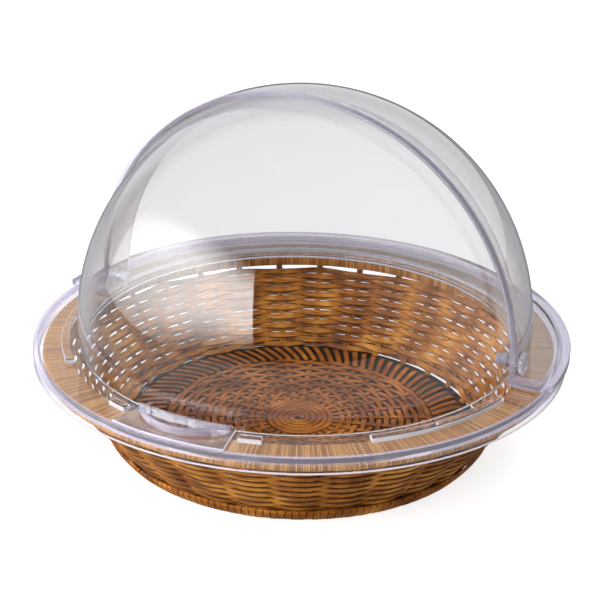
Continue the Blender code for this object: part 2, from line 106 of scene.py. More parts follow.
@dataclass(frozen=True)
class Plan:
    """Sizes that several pieces share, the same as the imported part's."""

    ring_radius: float = 197.5 * MM
    gap: float = 0.3 * MM
    wall_angle: float = math.radians(54.2)
    wall_foot_radius: float = 134.52 * MM
    stake_count: int = 31
    stake_phase: float = math.radians(88.0)
    stake_thickness: float = 1.4 * MM
    weave_outside: float = 2.905 * MM
    weave_inside: float = 2.345 * MM
    rim_top: float = 73.9 * MM
    rim_underside: float = 61.4 * MM
    rim_radius: float = 191.5 * MM
    rim_inner_radius: float = 171.0 * MM
    mat_radius: float = 103.8 * MM
    lip_inner_radius: float = 194.0 * MM
    lip_height: float = 3.0 * MM
    lip_fillet: float = 2.0 * MM
    moulded_corner: float = 1.5 * MM
    ring_underside: float = 74.2 * MM
    ring_top: float = 76.7 * MM
    cover_seat: float = 77.0 * MM
    pivot_height: float = 90.0 * MM
    dome_radius: float = 171.5 * MM
    dome_inner_radius: float = 168.5 * MM
    lid_radius: float = 164.5 * MM
    lid_inner_radius: float = 162.0 * MM
    pad_proud: float = 0.6 * MM
    pin_radius: float = 3.0 * MM

    def wall_radius(self, height: float) -> float:
        """Radius of the middle of the stakes at a height."""
        return self.wall_foot_radius + height / math.tan(self.wall_angle)

    def level(self, thickness: float) -> float:
        """Level width of a layer of this thickness that lies along the wall."""
        return thickness / math.sin(self.wall_angle)

    def stake_angle(self, number: float) -> float:
        """Angle about Z of a stake, or of a place between two, counted from the first."""
        return self.stake_phase + math.tau * number / self.stake_count

    def up_wall(self, angle: float) -> Vector:
        """Direction that runs up the wall at an angle about Z."""
        return polar(math.cos(self.wall_angle), angle, math.sin(self.wall_angle))

    def off_wall(self, angle: float) -> Vector:
        """Direction that stands straight off the wall's outside at an angle about Z."""
        return polar(math.sin(self.wall_angle), angle, -math.cos(self.wall_angle))


PLAN = Plan()


def polar(radius: float, angle: float, height: float) -> Vector:
    """A place from its radius, its angle about Z in radians and its height."""
    return Vector((radius * math.cos(angle), radius * math.sin(angle), height))


def deselect_all() -> None:
    """Leaves edit mode and deselects every object."""
    if bpy.context.object and bpy.context.object.mode != "OBJECT":
        bpy.ops.object.mode_set(mode="OBJECT")
    bpy.ops.object.select_all(action="DESELECT")


def take(piece: bpy.types.Object) -> bpy.types.Object:
    """Makes a piece the one selected and active object."""
    deselect_all()
    piece.select_set(True)
    bpy.context.view_layer.objects.active = piece
    return piece


def added(name: str) -> bpy.types.Object:
    """Names the primitive that was just added."""
    piece = bpy.context.object
    piece.name = piece.data.name = name
    return piece


def select_corners(piece: bpy.types.Object, test: Callable[[Vector], bool]) -> None:
    """Selects, in edit mode, the corners that a test accepts by their place.

    Args:
        piece: the mesh object in hand.
        test: takes a corner's place and says whether it is selected.
    """
    bpy.ops.object.mode_set(mode="OBJECT")
    mesh = piece.data
    mesh.polygons.foreach_set("select", [False] * len(mesh.polygons))
    mesh.edges.foreach_set("select", [False] * len(mesh.edges))
    mesh.vertices.foreach_set("select", [bool(test(vert.co)) for vert in mesh.vertices])
    bpy.ops.object.mode_set(mode="EDIT")
    bpy.ops.mesh.select_mode(type="VERT")


def arc(centre: Point, radius: float, start: float, end: float, steps: int) -> list[Point]:
    """Points on an arc, both ends included.

    Args:
        centre: the arc's centre in its plane.
        radius: the arc's radius.
        start: first angle in degrees.
        end: last angle in degrees.
        steps: how many chords the arc has.

    Returns:
        The points in order.
    """
    turns = [math.radians(start + (end - start) * step / steps) for step in range(steps + 1)]
    return [(centre[0] + radius * math.cos(a), centre[1] + radius * math.sin(a)) for a in turns]


def draw(name: str, points: Sequence[Vector], closed: bool) -> bpy.types.Object:
    """Draws a line by pulling one corner from point to point, and stays in edit mode.

    Args:
        name: the new piece's name.
        points: where the line goes.
        closed: whether its last point is joined to its first.

    Returns:
        The piece, with its whole line selected.
    """
    deselect_all()
    bpy.ops.mesh.primitive_plane_add(size=MM)
    piece = added(name)
    bpy.ops.object.mode_set(mode="EDIT")
    bpy.ops.mesh.select_mode(type="VERT")
    bpy.ops.mesh.select_all(action="SELECT")
    bpy.ops.mesh.merge(type="CENTER")
    bpy.ops.transform.translate(value=points[0])
    for last, following in zip(points, points[1:]):
        bpy.ops.mesh.extrude_vertices_move(TRANSFORM_OT_translate={"value": following - last})
    if closed:
        ends = (points[0], points[-1])
        select_corners(piece, lambda place: any((place - end).length < MERGE for end in ends))
        bpy.ops.mesh.edge_face_add()
    bpy.ops.mesh.select_all(action="SELECT")
    return piece


def face_outwards(piece: bpy.types.Object, merge: bool) -> bpy.types.Object:
    """Turns a closed piece's faces outwards.

    Args:
        piece: the piece, in either mode.
        merge: whether corners that coincide are made one first.

    Returns:
        The same piece in object mode.
    """
    take(piece)
    bpy.ops.object.mode_set(mode="EDIT")
    bpy.ops.mesh.select_all(action="SELECT")
    if merge:
        bpy.ops.mesh.remove_doubles(threshold=MERGE)
    bpy.ops.mesh.normals_make_consistent(inside=False)
    bpy.ops.object.mode_set(mode="OBJECT")
    return piece


def settle(piece: bpy.types.Object) -> bpy.types.Object:
    """Puts the faces of a new piece in a fixed order, which the spin tool leaves to chance.

    Args:
        piece: a piece that has neither a UV map nor a finish yet.

    Returns:
        The same piece in object mode, with the same corners and faces.
    """
    bpy.ops.object.mode_set(mode="OBJECT")
    mesh = piece.data
    places = [vert.co.copy() for vert in mesh.vertices]
    faces = []
    for polygon in mesh.polygons:
        loop = list(polygon.vertices)
        start = loop.index(min(loop))
        faces.append(tuple(loop[start:] + loop[:start]))
    mesh.clear_geometry()
    mesh.from_pydata(places, [], sorted(faces))
    return piece


def turned(
    name: str, outline: Sequence[Point], steps: int, closed: bool = True
) -> bpy.types.Object:
    """A solid turned about Z.

    Args:
        name: the new piece's name.
        outline: its half section as (radius, height) points.
        steps: how many steps a full turn has.
        closed: False where the outline starts and ends on the axis.

    Returns:
        The closed piece, with its faces outwards, in object mode.
    """
    piece = draw(name, [Vector((radius, 0, height)) for radius, height in outline], closed)
    bpy.ops.mesh.spin(steps=steps, angle=math.tau, center=(0, 0, 0), axis=(0, 0, 1))
    return settle(face_outwards(piece, merge=True))


def plate(
    name: str, outline: Sequence[Point], low: float, high: float, soften: float = 0.0
) -> bpy.types.Object:
    """A plate between two heights.

    Args:
        name: the new piece's name.
        outline: its edge as (x, y) points.
        low: height of its underside.
        high: height of its top.
        soften: width of the bevel round its top edge.

    Returns:
        The closed piece in object mode.
    """
    piece = draw(name, [Vector((x, y, low)) for x, y in outline], True)
    bpy.ops.mesh.edge_face_add()
    bpy.ops.mesh.extrude_region_move(TRANSFORM_OT_translate={"value": (0, 0, high - low)})
    if soften:
        bpy.ops.mesh.region_to_loop()
        bpy.ops.mesh.bevel(offset=soften, segments=3, affect="EDGES")
    return settle(face_outwards(piece, merge=False))


def lay_in_mesh(piece: bpy.types.Object, placing: Matrix) -> bpy.types.Object:
    """Moves a piece and puts the move into its mesh, so that its object stays at the origin."""
    piece.matrix_world = placing
    take(piece)
    bpy.ops.object.transform_apply(location=True, rotation=True, scale=True)
    return piece


def on_pivots(piece: bpy.types.Object, side: Side = Side.RIGHT) -> bpy.types.Object:
    """Lays a piece that was made about Z along the pivots' axis, pointing to one side."""
    turn = Matrix.Rotation(side.value * math.pi / 2, 4, "Y")
    return lay_in_mesh(piece, Matrix.Translation((0, 0, PLAN.pivot_height)) @ turn)


def combine(
    piece: bpy.types.Object, others: Sequence[bpy.types.Object], operation: str
) -> bpy.types.Object:
    """Adds or cuts the others by applied Boolean modifiers.

    Args:
        piece: the piece that is kept.
        others: the pieces that are used up.
        operation: UNION or DIFFERENCE.

    Returns:
        The kept piece.
    """
    for other in others:
        take(piece)
        boolean = piece.modifiers.new(operation.title(), "BOOLEAN")
        boolean.operation = operation
        boolean.solver = "EXACT"
        boolean.object = other
        bpy.ops.object.modifier_apply(modifier=boolean.name)
        settle(piece)
        bpy.data.objects.remove(other, do_unlink=True)
    return settle(face_outwards(piece, merge=True))


def joined(name: str, parts: Sequence[bpy.types.Object]) -> bpy.types.Object:
    """Makes several pieces one object.

    Args:
        name: the joined piece's name.
        parts: what is joined; the first is kept.

    Returns:
        The joined piece.
    """
    take(parts[0])
    for part in parts:
        part.select_set(True)
    bpy.ops.object.join()
    parts[0].name = parts[0].data.name = name
    return parts[0]


def copied(piece: bpy.types.Object, name: str, angle: float) -> bpy.types.Object:
    """A copy with its own mesh, turned about Z by an angle in radians."""
    copy = piece.copy()
    copy.data = piece.data.copy()
    copy.name = copy.data.name = name
    bpy.context.scene.collection.objects.link(copy)
    copy.data.transform(Matrix.Rotation(angle, 4, "Z"))
    return copy


def smooth(piece: bpy.types.Object, degrees: float) -> bpy.types.Object:
    """Shades a piece smooth, apart from edges sharper than an angle."""
    take(piece)
    bpy.ops.object.shade_smooth_by_angle(angle=math.radians(degrees))
    return piece


@dataclass(frozen=True)
class Stop:
    """One stop of a strand's way: its middle, and the ways its width and thickness point."""

    place: Vector
    wide: Vector
    thick: Vector


# A flat strand's section, in shares of half its width and half its thickness: flat flanks between
# rounded edges, with a shallow groove along the middle of both faces.
STRAND_SECTION = (
    (-1.0, 0.0),
    (-0.8, -1.0),
    (-0.3, -1.0),
    (0.0, -0.72),
    (0.3, -1.0),
    (0.8, -1.0),
    (1.0, 0.0),
    (0.8, 1.0),
    (0.3, 1.0),
    (0.0, 0.72),
    (-0.3, 1.0),
    (-0.8, 1.0),
)


def strand(
    name: str, stops: Sequence[Stop], width: float, thickness: float
) -> bpy.types.Object:
    """A flat strand with rounded edges and a shallow groove on both faces.

    Its UV map is in metres, along the strand and round its section.

    Args:
        name: the new piece's name.
        stops: its way from end to end.
        width: the strand's width.
        thickness: the strand's thickness.

    Returns:
        The closed piece.
    """
    section = [(across * width / 2, deep * thickness / 2) for across, deep in STRAND_SECTION]
    count = len(section)
    corners = [stop.place + a * stop.wide + b * stop.thick for stop in stops for a, b in section]
    faces = [
        (row + side, row + (side + 1) % count, row + count + (side + 1) % count, row + count + side)
        for row in range(0, (len(stops) - 1) * count, count)
        for side in range(count)
    ]
    last = (len(stops) - 1) * count
    faces += [tuple(reversed(range(count))), tuple(range(last, last + count))]
    mesh = bpy.data.meshes.new(name)
    mesh.from_pydata(corners, [], faces)
    along = [0.0]
    for first, second in zip(stops, stops[1:]):
        along.append(along[-1] + (second.place - first.place).length)
    layer = mesh.uv_layers.new(name="strand")
    for polygon in mesh.polygons:
        for loop in polygon.loop_indices:
            corner = mesh.loops[loop].vertex_index
            layer.data[loop].uv = (along[corner // count], section[corner % count][0])
    piece = bpy.data.objects.new(name, mesh)
    bpy.context.scene.collection.objects.link(piece)
    return smooth(face_outwards(piece, merge=False), 50)


def linear(code: str) -> tuple[float, float, float, float]:
    """Turns an sRGB hex code to a linear colour."""
    parts = [int(code[place : place + 2], 16) / 255 for place in (1, 3, 5)]
    red, green, blue = (
        part / 12.92 if part <= 0.04045 else ((part + 0.055) / 1.055) ** 2.4 for part in parts
    )
    return red, green, blue, 1.0


def add_node(
    tree: bpy.types.NodeTree,
    kind: str,
    settings: dict[str | int, object] | None = None,
    links: Links | None = None,
    stops: Sequence[tuple[float, str]] = (),
) -> bpy.types.Node:
    """Adds a node with its settings and links.

    Args:
        tree: the material's node tree.
        kind: the node's type.
        settings: properties, or values of unlinked inputs.
        links: sockets that go into the node's inputs.
        stops: places and sRGB codes of a colour ramp.

    Returns:
        The new node.
    """
    node = tree.nodes.new(kind)
    for key, value in (settings or {}).items():
        if isinstance(key, str) and hasattr(node, key):
            setattr(node, key, value)
        else:
            node.inputs[key].default_value = value
    for key, socket in (links or {}).items():
        tree.links.new(socket, node.inputs[key])
    for index, (place, code) in enumerate(stops):
        ramp = node.color_ramp.elements
        element = ramp[index] if index < 2 else ramp.new(place)
        element.position = place
        element.color = linear(code)
    return node


def blank(name: str) -> tuple[bpy.types.Material, bpy.types.NodeTree]:
    """An empty node material and its tree."""
    material = bpy.data.materials.new(name)
    material.use_nodes = True
    material.node_tree.nodes.clear()
    return material, material.node_tree


@dataclass(frozen=True)
class Cane:
    """What the cane finishes share: three tones, the colour of the painted shade along the edges of
    strands and wraps, and a satin surface.
    """

    name: str
    dark: str
    middle: str
    light: str
    edge_shade: str
    roughness: float

    def streaks(
        self, tree: bpy.types.NodeTree, uv: bpy.types.NodeSocket, size: Point, **look: float
    ) -> bpy.types.NodeSocket:
        """Adds noise that is drawn out along the strand.

        Args:
            tree: the material's node tree.
            uv: the strand's own UV map, in metres.
            size: length and width of one streak.
            look: the noise's own values.

        Returns:
            The noise's strength.
        """
        scale = (1 / size[0], 1 / size[1], 1.0)
        drawn_out = add_node(tree, "ShaderNodeMapping", {"Scale": scale}, {"Vector": uv})
        noise = add_node(
            tree,
            "ShaderNodeTexNoise",
            {"Scale": 1.0, **look},
            {"Vector": drawn_out.outputs["Vector"]},
        )
        return noise.outputs[0]

    def surface(
        self,
        tree: bpy.types.NodeTree,
        tone: bpy.types.NodeSocket,
        spread: float,
        edge_shade_share: bpy.types.NodeSocket,
        relief: tuple[bpy.types.NodeSocket, float, float],
    ) -> None:
        """Colours the cane, paints shade along its edges and gives it its satin skin.

        Args:
            tree: the material's node tree.
            tone: where on the scale from dark to light the cane is.
            spread: how far from the middle of that scale its dark and its light tone are.
            edge_shade_share: how much of the painted shade colour covers it.
            relief: height of its grooves, their strength and their depth.
        """
        colour = add_node(
            tree,
            "ShaderNodeValToRGB",
            links={"Fac": tone},
            stops=((0.5 - spread, self.dark), (0.5 + spread, self.light), (0.5, self.middle)),
        )
        # Painted shade: the dark colour is mixed over the cane along the edges of strands and
        # wraps.
        shaded = add_node(
            tree,
            "ShaderNodeMix",
            {"data_type": "RGBA", 7: linear(self.edge_shade)},
            {0: edge_shade_share, 6: colour.outputs["Color"]},
        )
        height, strength, depth = relief
        bump = add_node(
            tree, "ShaderNodeBump", {"Strength": strength, "Distance": depth}, {"Height": height}
        )
        shader = add_node(
            tree,
            "ShaderNodeBsdfPrincipled",
            {"Roughness": self.roughness, "IOR": 1.51, "Specular IOR Level": 0.25},
            {"Base Color": shaded.outputs[2], "Normal": bump.outputs["Normal"]},
        )
        add_node(tree, "ShaderNodeOutputMaterial", links={"Surface": shader.outputs["BSDF"]})


@dataclass(frozen=True)
class PolyRattan(Cane):
    """Polyethylene cane, extruded through a ribbed die: satin, with streaks and grooves, and
    painted shade along both edges of every strand.
    """

    edge_shade_start: float
    edge_shade_end: float
    streak: Point = (14 * MM, 0.45 * MM)
    drift: float = 28 * MM
    groove_depth: float = 0.12 * MM

    def material(self) -> bpy.types.Material:
        """Builds the material; streaks follow the strand's own UV map, in metres."""
        material, tree = blank(self.name)
        uv = add_node(tree, "ShaderNodeUVMap", {"uv_map": "strand"}).outputs["UV"]
        streaks = self.streaks(tree, uv, self.streak, Detail=3.0, Roughness=0.6)
        place = add_node(tree, "ShaderNodeTexCoord")
        drift = add_node(
            tree,
            "ShaderNodeTexNoise",
            {"Scale": 1 / self.drift, "Detail": 2.0},
            {"Vector": place.outputs["Object"]},
        )
        tone = add_node(
            tree,
            "ShaderNodeMix",
            {"data_type": "FLOAT", "Factor": 0.4},
            {"A": streaks, "B": drift.outputs[0]},
        ).outputs[0]
        # Painted shade: the cane darkens towards both edges of a strand, where its neighbours shade
        # it.
        parts = add_node(tree, "ShaderNodeSeparateXYZ", links={0: uv})
        off_middle = add_node(
            tree, "ShaderNodeMath", {"operation": "ABSOLUTE"}, {0: parts.outputs["Y"]}
        )
        shade = add_node(
            tree,
            "ShaderNodeMapRange",
            {
                "interpolation_type": "SMOOTHSTEP",
                "From Min": self.edge_shade_start,
                "From Max": self.edge_shade_end,
            },
            {"Value": off_middle.outputs[0]},
        )
        self.surface(tree, tone, 0.14, shade.outputs["Result"], (tone, 0.6, self.groove_depth))
        return material


@dataclass(frozen=True)
class WrappedCane(Cane):
    """Flat polyethylene cane wound edge to edge: every wrap has its own tone, with painted shade
    where each wrap meets the next.
    """

    pitch: float
    streak: Point = (12 * MM, 0.35 * MM)
    groove_depth: float = 0.15 * MM

    def material(self) -> bpy.types.Material:
        """Builds the material; wraps are counted across the UV map, in metres."""
        material, tree = blank(self.name)
        uv = add_node(tree, "ShaderNodeUVMap", {"uv_map": "strand"}).outputs["UV"]
        parts = add_node(tree, "ShaderNodeSeparateXYZ", links={0: uv})
        count = add_node(
            tree,
            "ShaderNodeMath",
            {"operation": "DIVIDE", 1: self.pitch},
            {0: parts.outputs["Y"]},
        ).outputs[0]
        number = add_node(tree, "ShaderNodeMath", {"operation": "FLOOR"}, {0: count})
        own = add_node(
            tree,
            "ShaderNodeTexWhiteNoise",
            {"noise_dimensions": "1D"},
            {"W": number.outputs[0]},
        )
        streaks = self.streaks(tree, uv, self.streak, Detail=2.0)
        tone = add_node(
            tree,
            "ShaderNodeMix",
            {"data_type": "FLOAT", "Factor": 0.45},
            {"A": own.outputs["Value"], "B": streaks},
        ).outputs[0]
        # Painted shade: a dark line along the border of every wrap.
        share = add_node(tree, "ShaderNodeMath", {"operation": "FRACT"}, {0: count})
        wrap_edge_shade = add_node(
            tree,
            "ShaderNodeValToRGB",
            links={"Fac": share.outputs[0]},
            stops=((0.0, "#FFFFFF"), (1.0, "#FFFFFF"), (0.22, "#000000"), (0.78, "#000000")),
        )
        self.surface(tree, tone, 0.3, wrap_edge_shade.outputs["Color"], (streaks, 0.5, self.groove_depth))
        return material


@dataclass(frozen=True)
class ClearPlastic:
    """Polycarbonate, injection moulded and polished: clear, with lines where it bends light."""

    name: str
    tint: str
    shadow: str
    clearness: float
    see_through: float
    # Grey of the painted shade where a wall is seen along its length.
    outline: str
    roughness: float
    ripple: float
    ripple_size: float = 26 * MM
    ior: float = 1.49

    def material(self) -> bpy.types.Material:
        """Builds the material: it bends what is seen through it and lets the lamps' light pass."""
        material, tree = blank(self.name)
        place = add_node(tree, "ShaderNodeTexCoord")
        flow = add_node(
            tree,
            "ShaderNodeTexNoise",
            {"Scale": 1 / self.ripple_size, "Detail": 1.0},
            {"Vector": place.outputs["Object"]},
        )
        ripple = add_node(
            tree,
            "ShaderNodeBump",
            {"Strength": 1.0, "Distance": self.ripple},
            {"Height": flow.outputs[0]},
        )
        # Painted shade: towards the outline the tint turns to that grey and the plastic grows less
        # clear.
        turn = add_node(tree, "ShaderNodeLayerWeight", {"Blend": 0.5})
        tint = add_node(
            tree,
            "ShaderNodeValToRGB",
            links={"Fac": turn.outputs["Facing"]},
            stops=((0.5, self.tint), (0.93, self.outline)),
        )
        clearness = add_node(
            tree,
            "ShaderNodeMapRange",
            {
                "From Min": 0.6,
                "From Max": 0.97,
                "To Min": self.clearness,
                "To Max": 0.4 * self.clearness,
            },
            {"Value": turn.outputs["Facing"]},
        )
        glass = add_node(
            tree,
            "ShaderNodeBsdfPrincipled",
            {"Roughness": self.roughness, "IOR": self.ior},
            {
                "Base Color": tint.outputs["Color"],
                "Transmission Weight": clearness.outputs["Result"],
                "Normal": ripple.outputs["Normal"],
            },
        )
        through = add_node(tree, "ShaderNodeBsdfTransparent", {"Color": linear(self.shadow)})
        ray = add_node(tree, "ShaderNodeLightPath")
        share = add_node(
            tree,
            "ShaderNodeMath",
            {"operation": "MAXIMUM", 1: self.see_through},
            {0: ray.outputs["Is Shadow Ray"]},
        )
        surface = add_node(
            tree,
            "ShaderNodeMixShader",
            links={0: share.outputs[0], 1: glass.outputs[0], 2: through.outputs[0]},
        )
        add_node(tree, "ShaderNodeOutputMaterial", links={"Surface": surface.outputs[0]})
        return material


# Satin brown cane with fine streaks, and painted shade along the strands' edges, where neighbouring
# strands shade each other.
WALL_CANE = PolyRattan(
    "poly_rattan_wall_cane", "#4A2404", "#9E5C16", "#E2A244", "#3A1C06", 0.5, 1.8 * MM, 2.8 * MM
)
# The same cane in the basket's floor, painted darker as shade, since the floor gets less light.
FLOOR_CANE_IN_SHADE = PolyRattan(
    "poly_rattan_floor_cane", "#3A1B04", "#88480E", "#C47E2E", "#2A1404", 0.5, 1.4 * MM, 2.4 * MM
)
# The side of the mat that lies on the table is in shade, so what shows between the floor's strands
# looks dark: painted shade, a near-black cane colour on the underlay.
UNDERLAY_PAINTED_SHADE = PolyRattan(
    "poly_rattan_shaded_underlay",
    "#120904",
    "#221208",
    "#35200F",
    "#120904",
    0.6,
    1.0 * MM,
    2.0 * MM,
)
# Wound edge to edge over a pad: a lighter, smoother band with fine lines of painted shade across it
# where the wraps meet. The wraps are drawn 1.6 mm wide, a little wider than the real ones, so that
# they still show.
RIM_CANE = WrappedCane(
    "poly_rattan_rim_wrapping", "#885620", "#B67E3A", "#D8A45E", "#54300E", 0.5, 1.583 * MM
)
# Polished shells: clear with a grey cast, and painted shade at the outline: greyer and less clear
# where the wall is seen along its length.
CLEAR_WALL = ClearPlastic(
    "polycarbonate_polished_wall", "#E9E9EA", "#F8F8F9", 1.0, 0.0, "#70707A", 0.0, 0.03 * MM
)
# The moulded ring is thicker and less polished, so what is seen through it is a little softer.
CLEAR_RING = ClearPlastic(
    "polycarbonate_moulded_ring", "#F2F2F5", "#F8F8FA", 1.0, 0.0, "#A9A7B4", 0.01, 0.03 * MM
)
# A thick edge gathers the light of the whole wall, so it shows pale lilac and faintly milky:
# painted light, a partly diffuse lilac finish in place of the light the edge carries.
CLEAR_EDGE = ClearPlastic(
    "polycarbonate_moulded_edge", "#BBB6C6", "#F2EFF8", 0.4, 0.5, "#857D9A", 0.12, 0.01 * MM
)
# The sharp moulded corners catch the lamps and show as white lines, painted as a highlight: a pale,
# less clear finish on those faces.
PAINTED_HIGHLIGHT_EDGE = ClearPlastic(
    "polycarbonate_lit_corner", "#F3F1F6", "#F6F5FA", 0.25, 0.3, "#D8D4E0", 0.1, 0.01 * MM
)
# Small turned pieces with tool marks: clear, but with blurred bright and dark bands.
CLEAR_PIN = ClearPlastic(
    "polycarbonate_turned_pin", "#DAD8E0", "#F2F2F5", 0.85, 0.2, "#9A98A4", 0.05, 0.01 * MM
)


@dataclass
class Finishes:
    """One material of each finish, made once for the whole object."""

    wall_cane: bpy.types.Material = field(default_factory=WALL_CANE.material)
    floor_cane_in_shade: bpy.types.Material = field(default_factory=FLOOR_CANE_IN_SHADE.material)
    underlay_painted_shade: bpy.types.Material = field(default_factory=UNDERLAY_PAINTED_SHADE.material)
    rim_cane: bpy.types.Material = field(default_factory=RIM_CANE.material)
    clear_wall: bpy.types.Material = field(default_factory=CLEAR_WALL.material)
    clear_ring: bpy.types.Material = field(default_factory=CLEAR_RING.material)
    clear_edge: bpy.types.Material = field(default_factory=CLEAR_EDGE.material)
    painted_highlight_edge: bpy.types.Material = field(default_factory=PAINTED_HIGHLIGHT_EDGE.material)
    clear_pin: bpy.types.Material = field(default_factory=CLEAR_PIN.material)


def dress(piece: bpy.types.Object, *materials: bpy.types.Material) -> bpy.types.Object:
    """Gives a piece its materials, the first of them all over."""
    piece.data.materials.clear()
    for material in materials:
        piece.data.materials.append(material)
    return piece


def seat(piece: bpy.types.Object, body: Body, nodes: Sequence[str]) -> None:
    """Puts a finished piece on its body in place of its CAD nodes and reports it.

    Args:
        piece: the finished piece.
        body: what it moves with.
        nodes: the CAD nodes that it stands for.
    """
    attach(piece, body.value)
    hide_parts(*nodes)
    log.info("%s: %d faces, on %s", piece.name, len(piece.data.polygons), body.value)


@dataclass
class WovenWall:
    """The upright stakes and the one strand that winds up over and under them."""

    finishes: Finishes
    stake_width: float = 5.5 * MM
    stake_foot: float = 0.8 * MM
    stake_steps: int = 8
    strand_width: float = 5.4 * MM
    squeezed: float = 0.87
    swing: float = 2.15 * MM
    strand_thickness: float = 1.5 * MM
    foot: float = 3.2 * MM
    pitch: float = 3.3 * MM
    crossings: int = 17 * 31
    crest: float = 57.9 * MM
    steps: int = 8
    wobble: float = 0.18 * MM
    seed: int = 31

    def build(self) -> None:
        """Builds, dresses and seats the stakes and the weaver."""
        self.stakes()
        self.weaver()

    def stakes(self) -> None:
        """Models one stake of three lobes and copies it round the wall."""
        lobe = self.stake_width / 3
        top = PLAN.rim_underside - PLAN.gap
        places = []
        for step in range(self.stake_steps + 1):
            height = self.stake_foot + (top - self.stake_foot) * step / self.stake_steps
            places.append(Vector((PLAN.wall_radius(height), 0, height)))
        parts = []
        for number in (-1, 0, 1):
            shift, out = Vector((0, number * lobe, 0)), PLAN.off_wall(0.0)
            line = [Stop(place + shift, Vector((0, 1, 0)), out) for place in places]
            parts.append(strand("stake_lobe", line, lobe, PLAN.stake_thickness))
        first = dress(joined("stake_cane", parts), self.finishes.wall_cane)
        for index in range(PLAN.stake_count):
            name = f"stake_{index + 1:02d}"
            copy = copied(first, f"cane_{name}", PLAN.stake_angle(index))
            seat(copy, Body.BASKET, [name])
        bpy.data.objects.remove(first, do_unlink=True)

    def weaver(self) -> None:
        """Sweeps the strand through every crossing, outside one stake and inside the next."""
        dice = random.Random(self.seed)
        lifts = [dice.uniform(-1, 1) * self.wobble for _ in range(self.crossings + 2)]
        middle = (PLAN.weave_outside - PLAN.weave_inside) / 2
        stops = []
        for step in range(self.crossings * self.steps + 1):
            turn = step / self.steps
            share = turn - int(turn)
            lift = lifts[int(turn)] * (1 - share) + lifts[int(turn) + 1] * share
            height = min(self.foot + self.pitch * turn / PLAN.stake_count, self.crest) + lift
            angle = PLAN.stake_angle(turn)
            radius = PLAN.wall_radius(height) + middle + self.swing * math.cos(math.pi * turn)
            squeeze = self.squeezed + (1 - self.squeezed) * math.cos(math.pi * turn) ** 2
            place, up = polar(radius, angle, height), PLAN.up_wall(angle) * squeeze
            stops.append(Stop(place, up, PLAN.off_wall(angle)))
        piece = strand("wall_weaver", stops, self.strand_width, self.strand_thickness)
        seat(dress(piece, self.finishes.wall_cane), Body.BASKET, ["weaver"])


@dataclass
class WrappedRim:
    """The padded rim, wrapped edge to edge with flat cane."""

    finishes: Finishes
    corner: float = 4.0 * MM
    inner_corner: float = 2.0 * MM
    heel: float = 1.6 * MM
    heel_share: float = 0.25
    foot_share: float = 0.6
    wraps: int = 760
    valley: float = 0.3 * MM

    def build(self) -> None:
        """Turns the rim's section and presses a valley between every two wraps."""
        width = PLAN.rim_radius - PLAN.rim_inner_radius
        shoulder = (PLAN.rim_radius - self.corner, PLAN.rim_top - self.corner)
        inside = (PLAN.rim_inner_radius + self.inner_corner, PLAN.rim_top - self.inner_corner)
        heel = PLAN.rim_underside + self.heel
        outline = [
            *arc(inside, self.inner_corner, 180, 90, 3),
            *arc(shoulder, self.corner, 90, -30, 7),
            (PLAN.rim_inner_radius + self.foot_share * width, heel),
            (PLAN.rim_inner_radius + self.heel_share * width, PLAN.rim_underside),
            (PLAN.rim_inner_radius, heel),
        ]
        piece = turned("wrapped_rim", outline, self.wraps * 2)
        step = math.tau / (self.wraps * 2)

        def in_valley(place: Vector) -> bool:
            """Says whether a corner is between two wraps."""
            return round(math.atan2(place.y, place.x) / step) % 2 == 0

        take(piece)
        bpy.ops.object.mode_set(mode="EDIT")
        select_corners(piece, in_valley)
        bpy.ops.transform.shrink_fatten(value=-self.valley)
        bpy.ops.object.mode_set(mode="OBJECT")
        self.unroll(piece)
        seat(dress(smooth(piece, 75), self.finishes.rim_cane), Body.BASKET, ["rim"])

    def unroll(self, piece: bpy.types.Object) -> None:
        """Lays a UV map in metres along each wrap and across it."""
        mesh = piece.data
        layer = mesh.uv_layers.new(name="strand")
        for polygon in mesh.polygons:
            for loop in polygon.loop_indices:
                place = mesh.vertices[mesh.loops[loop].vertex_index].co
                radius = math.hypot(place.x, place.y)
                angle = math.atan2(place.y, place.x)
                layer.data[loop].uv = (radius - place.z, angle * PLAN.rim_radius)


@dataclass
class FootBorder:
    """The short upright ends of cane plaited round the foot of the wall."""

    finishes: Finishes
    count: int = 186
    start: float = 0.7 * MM
    height: float = 10.0 * MM
    width: float = 5.0 * MM
    thickness: float = 2.2 * MM
    slant: float = 1.5 * MM
    ragged: float = 0.7 * MM
    past_weaver: float = 0.7 * MM
    below_top: float = 0.6 * MM
    bulge: float = 0.3 * MM
    steps: int = 4
    seed: int = 7

    def build(self) -> None:
        """Sweeps every short end, each a little different, and joins them."""
        dice = random.Random(self.seed)
        offset = PLAN.weave_outside + PLAN.level(self.past_weaver + PLAN.gap + self.thickness / 2)
        ends = []
        for index in range(self.count):
            low = self.start + dice.random() * self.ragged
            high = self.height - self.below_top - dice.random() * self.ragged
            stops = []
            for step in range(self.steps + 1):
                share = step / self.steps
                height = low + (high - low) * share
                bulge = PLAN.level(self.bulge) * math.sin(math.pi * share)
                radius = PLAN.wall_radius(height) + offset + bulge - PLAN.level(self.bulge)
                place = Vector((radius, self.slant * (share - 0.5), height))
                stops.append(Stop(place, Vector((0, 1, 0)), PLAN.off_wall(0.0)))
            end = strand("foot_end", stops, self.width, self.thickness)
            end.data.transform(Matrix.Rotation(math.tau * index / self.count, 4, "Z"))
            ends.append(end)
        piece = dress(joined("foot_plait", ends), self.finishes.wall_cane)
        seat(piece, Body.BASKET, ["foot_border"])


